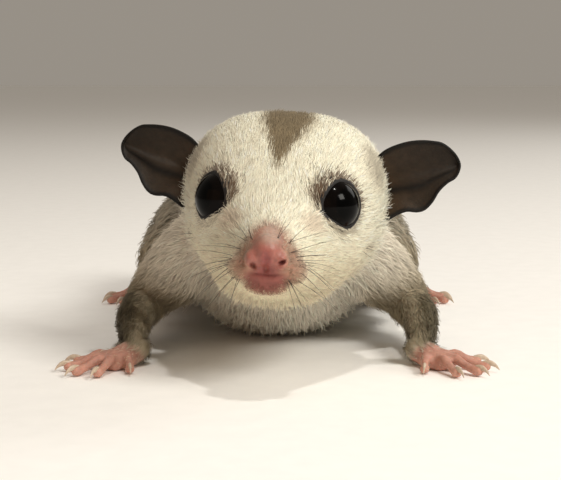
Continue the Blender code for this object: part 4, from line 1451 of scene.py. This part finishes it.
@dataclass
class Coat:
    """Hair as thin, tapered, closed strands that lie along the body and overlap."""

    frame: Frame
    lie: Lie
    markings: Markings
    seed: int = 11
    thickness: float = 0.5
    sunk: float = 0.12
    sway: float = 11.0
    clump_share: float = 0.07
    patch: float = 0.003
    most_faces: int = 190000
    shade: float = 0.11
    clump_shade: float = 0.045
    roundness: float = 0.6
    stray_share: float = 0.2
    stray_lift: float = 34.0
    floor_gap: float = 0.02

    def __post_init__(self) -> None:
        """Sets up the seeded draws."""
        self.draw = np.random.default_rng(self.seed)

    def bare(self, points: np.ndarray, outward: np.ndarray) -> np.ndarray:
        """How much coat each place carries, from 0 where it is bare to 1."""
        head = self.frame.in_head(points)
        pad = within(head, (0.0, -14.0, -8.6), (3.3, 3.8, 3.6))
        bridge = within(head, (0.0, -12.4, -6.3), (2.2, 4.4, 2.9))
        carried = eased(np.minimum(pad, bridge), 0.85, 1.3)
        size = self.markings.head
        mouth = np.abs(head[:, 2] - size.mouth_height(head))
        lips = (head[:, 1] < -5.0) & (np.abs(head[:, 0]) < 3.0)
        carried *= np.where(lips, eased(mouth, 0.2, 0.7), 1.0)
        for side in SIDES.values():
            eye = np.linalg.norm(head - np.array(sided(size.eye_at, side)), axis=1)
            carried *= eased(eye, 4.15, 4.35)
        carried *= np.where((points[:, 2] < 0.6) & (outward[:, 2] < -0.5), 0.25, 1.0)
        return carried

    def length_share(self, points: np.ndarray) -> np.ndarray:
        """How long the hair of the head is at each place, against its full length."""
        head = self.frame.in_head(points)
        away = within(head, (0.0, -13.5, -8.5), (1.0, 1.0, 1.0))
        share = 0.16 + 0.84 * eased(away, 3.6, 12.5)
        share += self.outer(head) * (0.15 + 0.75 * (1 - eased(head[:, 2], -3.0, 7.0)))
        for side in SIDES.values():
            eye = np.linalg.norm(head - np.array(sided(self.markings.head.eye_at, side)), axis=1)
            share *= 1 - 0.5 * (1 - eased(eye, 4.4, 6.5))
        return share

    def outer(self, head: np.ndarray) -> np.ndarray:
        """How near each place is to the outline of the face, where the hair is longer and looser."""
        return np.maximum(eased(head[:, 1], 2.0, 11.0), eased(-head[:, 2], 9.5, 13.5) * eased(head[:, 1], -8.0, -1.0))

    def roots(self, growth: Growth, skin: bpy.types.Object, shares: dict, outward: np.ndarray) -> tuple:
        """Scatters roots over the skin, thicker where the coat is denser.

        Args:
            growth: The share of the coat that they are for.
            skin: The skin in the animal's millimetres.
            shares: Each region's share at the skin's vertices.
            outward: The skin's normals there.

        Returns:
            The roots and the skin's normals there.
        """
        mesh = skin.data
        mesh.calc_loop_triangles()
        faces = np.empty(len(mesh.loop_triangles) * 3, dtype=np.int32)
        mesh.loop_triangles.foreach_get("vertices", faces)
        faces = faces.reshape(-1, 3)
        points = vertices(mesh)
        density = sum(share * HAIR[region].density for region, share in shares.items()
                      if (region == Region.HEAD) == growth.on_head)
        density *= self.bare(points, outward) * (1 + 1.5 * self.foremost(points))
        a, b, c = (points[faces[:, k]] for k in range(3))
        area = np.linalg.norm(np.cross(b - a, c - a), axis=1) / 2
        odds = area * density[faces].mean(axis=1)
        chosen = self.draw.choice(len(faces), growth.count, p=odds / odds.sum())
        u, v = self.draw.random(growth.count), self.draw.random(growth.count)
        over = u + v > 1
        u, v = np.where(over, 1 - u, u), np.where(over, 1 - v, v)
        parts = np.stack([1 - u - v, u, v], axis=1)
        spots = np.einsum("nk,nkc->nc", parts, points[faces[chosen]])
        ways = unit(np.einsum("nk,nkc->nc", parts, outward[faces[chosen]]))
        order = np.argsort(spots[:, 1] + 0.001 * spots[:, 0])
        return spots[order], ways[order]

    def foremost(self, points: np.ndarray) -> np.ndarray:
        """How near each place is to the front of the body, where the coat is seen closest."""
        return 1 - eased(points[:, 1], 26.0, 46.0)

    def grow(self, growth: Growth, skin: bpy.types.Object, tree: BVHTree, unwrap: Unwrap) -> list:
        """Grows a share of the coat.

        Args:
            growth: Which share.
            skin: The skin in the animal's millimetres.
            tree: Finds places on it.
            unwrap: Finds places on its unwrap.

        Returns:
            The coat's pieces, in metres.
        """
        outward = normals(skin.data)
        shares, _ = self.lie.weights(vertices(skin.data))
        root, normal = self.roots(growth, skin, shares, outward)
        shares, ways = self.lie.weights(root)
        kinds = {k: sum(shares[r] * getattr(HAIR[r], k) for r in Region) for k in ("length", "lift", "width", "clump")}
        flow = self.lie.flow(root, normal, shares, ways)
        turn = np.radians(self.draw.normal(0.0, self.sway, len(root)))[:, None]
        flow = flow * np.cos(turn) + np.cross(normal, flow) * np.sin(turn)
        length = kinds["length"] * self.draw.uniform(0.75, 1.2, len(root))
        length *= 1 + (self.length_share(root) - 1) * shares[Region.HEAD]
        length *= 1 - 0.4 * self.foremost(root) * shares[Region.TRUNK]
        head = self.frame.in_head(root)
        crown = eased(head[:, 2], -3.0, 7.0) * (1 - 0.8 * eased(np.abs(head[:, 0]), 10.5, 13.0))
        outer = self.outer(head) * shares[Region.HEAD] * (1 - 0.6 * crown)
        stray = self.draw.random(len(root)) < self.stray_share
        loose = kinds["lift"] + 13.0 * outer + self.stray_lift * stray * (outer + 0.5 * (1 - shares[Region.HEAD]))
        loose -= 7.0 * self.foremost(root) * shares[Region.TRUNK]
        lift = np.radians(loose * self.draw.uniform(0.6, 1.4, len(root)))
        centres, ups = self.paths(growth, root, normal, flow, length, lift, tree)
        centres, leader = self.clumped(growth, root, centres, kinds["clump"])
        tint = self.tinted(root, shares, leader)
        width = kinds["width"] * self.draw.uniform(0.75, 1.2, len(root))
        width *= 1 - (0.25 * self.outer(head) if growth.on_head else 0.35 * self.foremost(root))
        places = unwrap.find(root)
        step = self.most_faces // growth.faces()
        return [self.piece(growth, i // step + 1, *(rows[i:i + step] for rows in (centres, ups, width, tint, places)))
                for i in range(0, len(root), step)]

    def paths(self, growth: Growth, root: np.ndarray, normal: np.ndarray, flow: np.ndarray, length: np.ndarray,
              lift: np.ndarray, tree: BVHTree) -> tuple:
        """Runs each hair over the skin, rising as it leaves its root and bending back.

        Args:
            growth: The share of the coat that it belongs to.
            root: Where each hair starts.
            normal: The skin's normal there.
            flow: The way that it lies.
            length: How long it is.
            lift: The angle at which it rises.
            tree: Finds places on the skin.

        Returns:
            The middles of its rings, and the way up at each.
        """
        centres, ups = [root - normal * self.sunk], [normal]
        spot, way, up, last = root, flow, normal, 0.0
        for level in growth.levels[1:]:
            ahead = spot + way * (length * np.cos(lift) * (level - last))[:, None]
            hits = [tree.find_nearest(p) for p in ahead.tolist()]
            spot = np.array([tuple(hit[0]) for hit in hits])
            up = unit(0.5 * up + 0.5 * np.array([tuple(hit[1]) for hit in hits]))
            way = along_surface(way, up)
            height = length * np.sin(lift) * (level - 0.42 * level * level)
            made = spot + up * (height + 0.05)[:, None]
            made[:, 2] = np.maximum(made[:, 2], 0.08)
            centres.append(made)
            ups.append(up)
            last = level
        return np.stack(centres, axis=1), np.stack(ups, axis=1)

    def clumped(self, growth: Growth, root: np.ndarray, centres: np.ndarray, clump: np.ndarray) -> tuple:
        """Draws the tips of neighbouring hairs together, and says which hair each one follows."""
        leaders = np.nonzero(self.draw.random(len(root)) < self.clump_share)[0]
        tree = KDTree(len(leaders))
        for i in leaders.tolist():
            tree.insert(root[i], i)
        tree.balance()
        found = [tree.find(p) for p in root.tolist()]
        leader = np.array([hit[1] for hit in found])
        near = 1 - eased(np.array([hit[2] for hit in found]), 1.2, 2.4)
        for k, level in enumerate(growth.levels):
            pull = (clump * near * level * level)[:, None]
            centres[:, k] += (centres[leader, k] - centres[:, k]) * pull
        return centres, leader

    def tinted(self, root: np.ndarray, shares: dict, leader: np.ndarray) -> np.ndarray:
        """The colour of each hair: the markings', with ragged edges, its clump's shade and its own."""
        strayed = root + self.draw.normal(0.0, 0.3, root.shape)
        tint = self.markings.coat(strayed, shares)
        own = self.draw.normal(0.0, self.shade, len(root))
        shared = self.draw.normal(0.0, self.clump_shade, len(root))[leader]
        return np.clip(tint * (1 + own + shared)[:, None], 0.0, 0.95)

    def piece(self, growth: Growth, number: int, centres: np.ndarray, ups: np.ndarray, width: np.ndarray,
              tint: np.ndarray, places: np.ndarray) -> bpy.types.Object:
        """Makes one piece of joined strands, which are shaded softly, as the skin under them is.

        Args:
            growth: The share of the coat that it belongs to.
            number: Its number there.
            centres: The middles of each strand's rings.
            ups: The way up at each.
            width: Each strand's width.
            tint: Each strand's colour.
            places: Each root's place on the unwrap.

        Returns:
            The piece, in metres, on the frame.
        """
        name = f"{growth.name}_{number}"
        count, rings = len(centres), len(growth.widths)
        ahead = np.diff(centres, axis=1)
        ahead = np.concatenate([ahead, ahead[:, -1:]], axis=1)
        side = np.cross(ahead, ups)
        side /= np.maximum(np.linalg.norm(side, axis=2, keepdims=True), 1e-9)
        corners = np.empty((count, rings * 3 + 1, 3))
        faced = np.empty_like(corners)
        for k in range(rings):
            half = (width * growth.widths[k] / 2)[:, None]
            corners[:, k * 3] = centres[:, k] + side[:, k] * half
            corners[:, k * 3 + 1] = centres[:, k] - side[:, k] * half
            corners[:, k * 3 + 2] = centres[:, k] + ups[:, k] * half * 2 * self.thickness
            faced[:, k * 3] = ups[:, k] + side[:, k] * self.roundness
            faced[:, k * 3 + 1] = ups[:, k] - side[:, k] * self.roundness
            faced[:, k * 3 + 2] = ups[:, k]
        corners[:, -1] = centres[:, -1]
        corners[..., 2] = np.maximum(corners[..., 2], self.floor_gap)
        faced[:, -1] = ups[:, -1]
        faces = [(0, 2, 1)]
        for k in range(0, 3 * rings - 3, 3):
            for a, b in ((0, 1), (1, 2), (2, 0)):
                faces += [(k + a, k + b, k + a + 3), (k + b, k + b + 3, k + a + 3)]
        last = 3 * rings - 3
        faces += [(last + a, last + b, 3 * rings) for a, b in ((0, 1), (1, 2), (2, 0))]
        faces = np.array(faces)
        size = corners.shape[1]
        index = (faces[None] + (np.arange(count) * size)[:, None, None]).reshape(-1, 3)
        mesh = bpy.data.meshes.new(name)
        mesh.vertices.add(count * size)
        mesh.vertices.foreach_set("co", moved(corners.reshape(-1, 3), self.frame.world()).astype(np.float32).ravel())
        mesh.loops.add(index.size)
        mesh.loops.foreach_set("vertex_index", index.ravel().astype(np.int32))
        mesh.polygons.add(len(index))
        mesh.polygons.foreach_set("loop_start", np.arange(0, index.size, 3, dtype=np.int32))
        mesh.update(calc_edges=True)
        course = np.repeat(np.arange(rings + 1), 3)[:size] / rings
        self.tint_mesh(mesh, tint, course)
        across = np.array(([-0.5, 0.5, 0.0] * (rings + 1))[:size])
        patch = np.stack([course - 0.5, across], axis=1) * self.patch
        spread = (places[:, None] + patch[None]).reshape(-1, 2)
        mesh.uv_layers.new(name="OFBake").data.foreach_set("uv", spread[index.ravel()].astype(np.float32).ravel())
        mesh.shade_smooth()
        mesh.normals_split_custom_set_from_vertices(unit(faced.reshape(-1, 3)).tolist())
        item = bpy.data.objects.new(name, mesh)
        bpy.context.scene.collection.objects.link(item)
        return item

    def tint_mesh(self, mesh: bpy.types.Mesh, tint: np.ndarray, course: np.ndarray) -> None:
        """Colours strands darker at the root and paler at the tip: painted shade deep in the coat, with the coat's own
        paler tips.
        """
        # Painted shade at the roots, easing to the coat's own paler tips.
        shade = 0.8 + 0.23 * course
        paint(mesh, "markings", (tint[:, None] * shade[None, :, None]).reshape(-1, 3))

    def dress(self, items: list) -> None:
        """Puts the coat's pieces on the frame, each with the finish of its place."""
        finishes = {"cream_fur": CoatFinish("cream_hair").make(), "grey_fur": CoatFinish("grey_hair").make(),
                    "dark_fur": CoatFinish("tail_hair").make()}
        for item in items:
            middle = (sum((Vector(c) for c in item.bound_box), Vector()) / 8 - self.frame.origin) / MM
            slot = "cream_fur" if middle.y < 22 else "grey_fur" if middle.y < 140 else "dark_fur"
            item.data.materials.append(finishes[slot])
            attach(item, "root")
            log.info("%s: %d faces", item.name, len(item.data.polygons))


# Eyes, ears, claws and whiskers

@dataclass
class Eyes:
    """Large, dark, wet eyes."""

    frame: Frame
    head: Head

    def build(self, name: str, side: int) -> bpy.types.Object:
        """Builds one eye and replaces its node."""
        axis = self.head.eye_axis(side)
        bm = bmesh.new()
        bmesh.ops.create_uvsphere(bm, u_segments=96, v_segments=64, radius=self.head.eye_radius)
        angles = [math.degrees(math.acos(max(-1.0, min(1.0, v.co.z / self.head.eye_radius)))) for v in bm.verts]
        spin = axis.to_track_quat("Z", "Y").to_matrix().to_4x4()
        bm.transform(self.frame.head @ Matrix.Translation(sided(self.head.eye_at, side)) @ spin)
        item = add_object(f"eyeball_{name}", bm, self.frame)
        ring = item.data.attributes.new("ring", "FLOAT", "POINT")
        ring.data.foreach_set("value", [min(a / 80.0, 1.0) for a in angles])
        item.data.materials.append(EyeFinish().make())
        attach(item, "root")
        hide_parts(f"eye_{name}")
        return item


@dataclass
class Ears:
    """Thin, cupped, nearly bare ears."""

    frame: Frame
    root: tuple = (13.7, 9.6, 2.0)
    tip: tuple = (25.8, 11.2, 7.2)
    upper_margin: tuple = ((-0.3, 3.0), (0.0, 3.6), (0.12, 4.6), (0.26, 5.35), (0.43, 5.5), (0.57, 5.3),
                           (0.71, 4.75), (0.86, 3.8), (1.0, 2.8))
    lower_margin: tuple = ((-0.3, 4.6), (0.0, 4.6), (0.14, 4.3), (0.26, 4.3), (0.36, 4.9), (0.45, 5.0),
                           (0.56, 4.3), (0.67, 3.1), (0.8, 2.3), (0.9, 2.1), (1.0, 1.8))
    round_from: float = 0.85
    facing: tuple = (0.30, -0.94, 0.10)
    cup_depth: float = 2.6
    fold_height: float = 0.75
    fold_width: float = 0.16
    thickness: float = 0.34
    rows: int = 48
    columns: int = 44
    dark: str = "#15100b"
    brown: str = "#2d2319"
    flush: str = "#41301f"

    def crease(self, along):
        """How far across the ear its long fold lies at each place along it."""
        return 0.12 - 0.42 * along

    def point(self, side: int, along: float, across: float) -> Vector:
        """A place on the ear's middle surface: along from root to tip, across from low to high."""
        root, tip = Vector(self.root), Vector(self.tip)
        way = (tip - root).normalized()
        facing = Vector(self.facing)
        facing = (facing - way * facing.dot(way)).normalized()
        rise = facing.cross(way).normalized()
        reach = curve_on(self.upper_margin if across >= 0 else self.lower_margin, along)
        end = max(along - self.round_from, 0.0) / (1.0 - self.round_from)
        reach *= math.sqrt(max(1.0 - end * end, 0.0))
        depth = self.cup_depth * (1 - across * across) * (0.25 + 0.75 * (1 - along) ** 2)
        fold = math.exp(-((across - self.crease(along)) / self.fold_width) ** 2)
        fold *= math.sin(math.pi * min(max(along, 0), 1))
        rim = 0.2 * max(0.0, abs(across) - 0.9) / 0.1 * (1.0 - end)
        out = self.fold_height * fold - depth + rim
        spot = root + (tip - root) * along + rise * (across * reach) + facing * out
        return sided(tuple(spot), side)

    def build(self, name: str, side: int) -> bpy.types.Object:
        """Builds one ear and replaces its node."""
        bm = bmesh.new()
        bmesh.ops.create_grid(bm, x_segments=self.rows, y_segments=self.columns, size=1.0)
        shares = []
        for vert in bm.verts:
            along, across = -0.22 + 1.22 * math.sin(math.pi / 4 * (vert.co.x + 1)), vert.co.y
            shares.append((along, across))
            vert.co = self.point(side, along, across)
        bm.transform(self.frame.head)
        item = add_object(f"ear_shell_{name}", bm, self.frame)
        rows = np.array(shares)
        edge = eased(np.abs(rows[:, 1]), 0.84, 0.98)[:, None]
        # Painted shade along the hollow beside the ear's long fold.
        crease_shade = np.exp(-((rows[:, 1] - self.crease(rows[:, 0]) + 0.2) / 0.13) ** 2)[:, None]
        low = np.array(linear(self.brown)) * np.ones((len(rows), 3))
        low += (np.array(linear(self.flush)) - low) * (0.8 * (1 - eased(rows[:, 0], 0.0, 0.5)))[:, None]
        low += (np.array(linear(self.dark)) - low) * (0.6 * eased(rows[:, 0], 0.3, 1.0))[:, None]
        low += (np.array(linear(self.dark)) * 0.5 - low) * 0.75 * crease_shade
        paint(item.data, "markings", low + (np.array(linear(self.dark)) * 0.6 - low) * edge)
        wall = item.modifiers.new("wall", "SOLIDIFY")
        wall.thickness = self.thickness * MM
        wall.offset = 0.0
        bake(item)
        item.data.materials.append(EarFinish().make())
        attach(item, "root")
        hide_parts(f"ear_{name}")
        return item


@dataclass
class Claws:
    """Small hooked claws, one piece for each paw."""

    frame: Frame

    def build(self, name: str, side: int) -> list:
        """Builds the claws of one side."""
        finish = HornFinish("claw_horn", "#e6d5c0", "#b89f86", 0.15).make()
        made = []
        for label, paw in (("hand", HAND), ("foot", FOOT)):
            item = add_object(f"claws_{label}_{name}", paw.build_claws(side), self.frame)
            item.data.materials.append(finish)
            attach(item, "root")
            made.append(item)
        return made


@dataclass
class Whiskers:
    """Thin, springy whiskers on the muzzle, brows and cheeks."""

    frame: Frame
    tree: BVHTree
    radius: float = 0.047
    seed: int = 5
    copies: int = 2
    rows: tuple = (
        ((2.5, -12.0, -4.6), (0.45, 0.35, 0.9), 6.0),
        ((3.3, -11.4, -5.6), (0.8, 0.35, 0.65), 6.5),
        ((3.8, -11.2, -6.8), (0.95, 0.35, 0.3), 8.0),
        ((4.1, -11.0, -7.8), (1.0, 0.3, 0.1), 9.5),
        ((4.3, -10.8, -8.8), (1.0, 0.3, -0.2), 10.0),
        ((4.2, -10.9, -9.6), (0.95, 0.25, -0.5), 9.0),
        ((3.8, -11.2, -10.4), (0.8, 0.2, -0.8), 8.0),
        ((3.2, -11.6, -10.9), (0.5, 0.1, -1.0), 6.5),
        ((5.2, -9.2, -8.0), (1.0, 0.3, 0.1), 9.0),
        ((5.2, -9.0, -9.4), (0.95, 0.3, -0.4), 8.5),
    )
    single: tuple = (
        ((5.2, -6.2, 3.6), (0.15, -0.2, 1.0), 6.5),
        ((5.9, -5.6, 4.2), (0.4, -0.2, 0.95), 6.0),
        ((6.6, -5.0, 4.8), (0.6, -0.15, 0.85), 5.0),
        ((13.4, 3.4, -6.2), (0.9, 0.2, -0.2), 5.0),
        ((13.2, 3.9, -7.0), (0.9, 0.3, -0.5), 4.5),
    )

    def build(self) -> bpy.types.Object:
        """Builds all the whiskers in one piece."""
        draw = np.random.default_rng(self.seed)
        bm = bmesh.new()
        for side in SIDES.values():
            for root, way, length in [*self.rows * self.copies, *self.single]:
                root = Vector(root) + Vector(draw.normal(0.0, 0.28, 3))
                jitter = Vector(draw.normal(0.0, 0.14, 3))
                heading = self.frame.head.to_3x3() @ (sided(way, side) + jitter).normalized()
                start = Vector(self.tree.find_nearest(self.frame.head @ sided(root, side))[0]) - heading * 0.3
                reach = length * draw.uniform(0.5, 1.0)
                bend = draw.uniform(0.05, 0.3)
                course = []
                for share in (0.0, 0.3, 0.65, 1.0):
                    sag = Vector((0.0, 0.35, -1.0)) * bend * reach * share * share
                    course.append((start + heading * reach * share + sag, self.radius * (1 - 0.85 * share)))
                add_tube(bm, course, 6, 3)
        item = add_object("whiskers", bm, self.frame)
        item.data.materials.append(HornFinish("whisker_keratin", "#2a211b", "#57483b").make())
        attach(item, "root")
        return item


# Studio

@dataclass
class Studio:
    """The floor, the light and the camera."""

    frame: Frame
    distance: float = 0.2
    elevation: float = 7.0
    view_width: float = 0.0813
    aim: tuple = (0.5, 0.0, -5.9)
    sensor: float = 36.0

    def floor(self) -> None:
        """Lays a pale floor."""
        bm = bmesh.new()
        bmesh.ops.create_grid(bm, x_segments=2, y_segments=2, size=4.0)
        item = add_object("floor", bm)
        item.data.materials.append(FloorFinish().make())

    def area(self, name: str, way: tuple, distance: float, size: float, power: float, colour: str) -> None:
        """Hangs a soft light that faces the head.

        Args:
            name: The light's name.
            way: From the head to the light.
            distance: How far, in metres.
            size: Its width, in metres.
            power: Its strength in watts.
            colour: Its colour as an sRGB hex value.
        """
        lamp = bpy.data.lights.new(name, "AREA")
        lamp.shape = "SQUARE"
        lamp.size = size
        lamp.energy = power
        lamp.color = linear(colour)
        item = bpy.data.objects.new(name, lamp)
        head = self.frame.origin + UP * 0.025
        item.location = head + Vector(way).normalized() * distance
        item.rotation_euler = (head - item.location).to_track_quat("-Z", "Y").to_euler()
        bpy.context.scene.collection.objects.link(item)

    def light(self) -> None:
        """Sets a lamp above, a soft window from the viewer's upper right, a warm fill and a pale room."""
        bpy.context.scene.view_settings.view_transform = "Standard"
        self.area("lamp", (0.15, -0.2, 0.97), 0.6, 0.034, 1.0, "#fffaf2")
        self.area("window", (0.6, -0.55, 0.62), 0.8, 0.28, 4.3, "#fffbf2")
        self.area("fill", (-0.6, -0.75, 0.15), 0.9, 1.0, 0.85, "#ffb26a")
        self.area("back", (0.75, 0.55, 0.5), 0.9, 0.4, 1.6, "#fffdf8")
        world = bpy.data.worlds.new("studio")
        world.use_nodes = True
        ground = world.node_tree.nodes["Background"]
        ground.inputs["Color"].default_value = (*linear("#f5eadb"), 1.0)
        ground.inputs["Strength"].default_value = 0.34
        bpy.context.scene.world = world

    def camera(self) -> None:
        """Sets the camera at the photograph's angle."""
        lens = bpy.data.cameras.new("camera")
        lens.sensor_width = self.sensor
        lens.lens = self.sensor * self.distance / self.view_width
        lens.clip_start = 0.01
        item = bpy.data.objects.new("camera", lens)
        eyes = self.frame.origin + UP * self.frame.head.translation.z * MM
        target = eyes + Vector(self.aim) * MM
        rise = math.radians(self.elevation)
        away = Vector((0.0, -math.cos(rise), math.sin(rise)))
        item.location = target + away * self.distance
        item.rotation_euler = (-away).to_track_quat("-Z", "Y").to_euler()
        bpy.context.scene.collection.objects.link(item)
        bpy.context.scene.camera = item

    def build(self) -> None:
        """Sets up the whole studio."""
        self.floor()
        self.light()
        self.camera()


def main() -> None:
    """Builds the animal over its frame."""
    logging.basicConfig(level=logging.INFO, format="%(message)s")
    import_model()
    frame = Frame.from_eyes()
    Studio(frame).build()
    head, body = Head(), Body()
    lie = Lie(frame, body.stretches(frame))
    markings = Markings(frame, head)
    sheath = Skin(frame, head, body)
    skin = sheath.build()
    tree = BVHTree.FromObject(skin, bpy.context.evaluated_depsgraph_get())
    unwrap = Unwrap()
    unwrap.build(skin)
    coat = Coat(frame, lie, markings)
    for growth in GROWTHS:
        coat.dress(coat.grow(growth, skin, tree, unwrap))
    sheath.dress(skin, lie, markings)
    Whiskers(frame, tree).build()
    for name, side in SIDES.items():
        Eyes(frame, head).build(name, side)
        Ears(frame).build(name, side)
        Claws(frame).build(name, side)


if __name__ == "__main__":
    main()
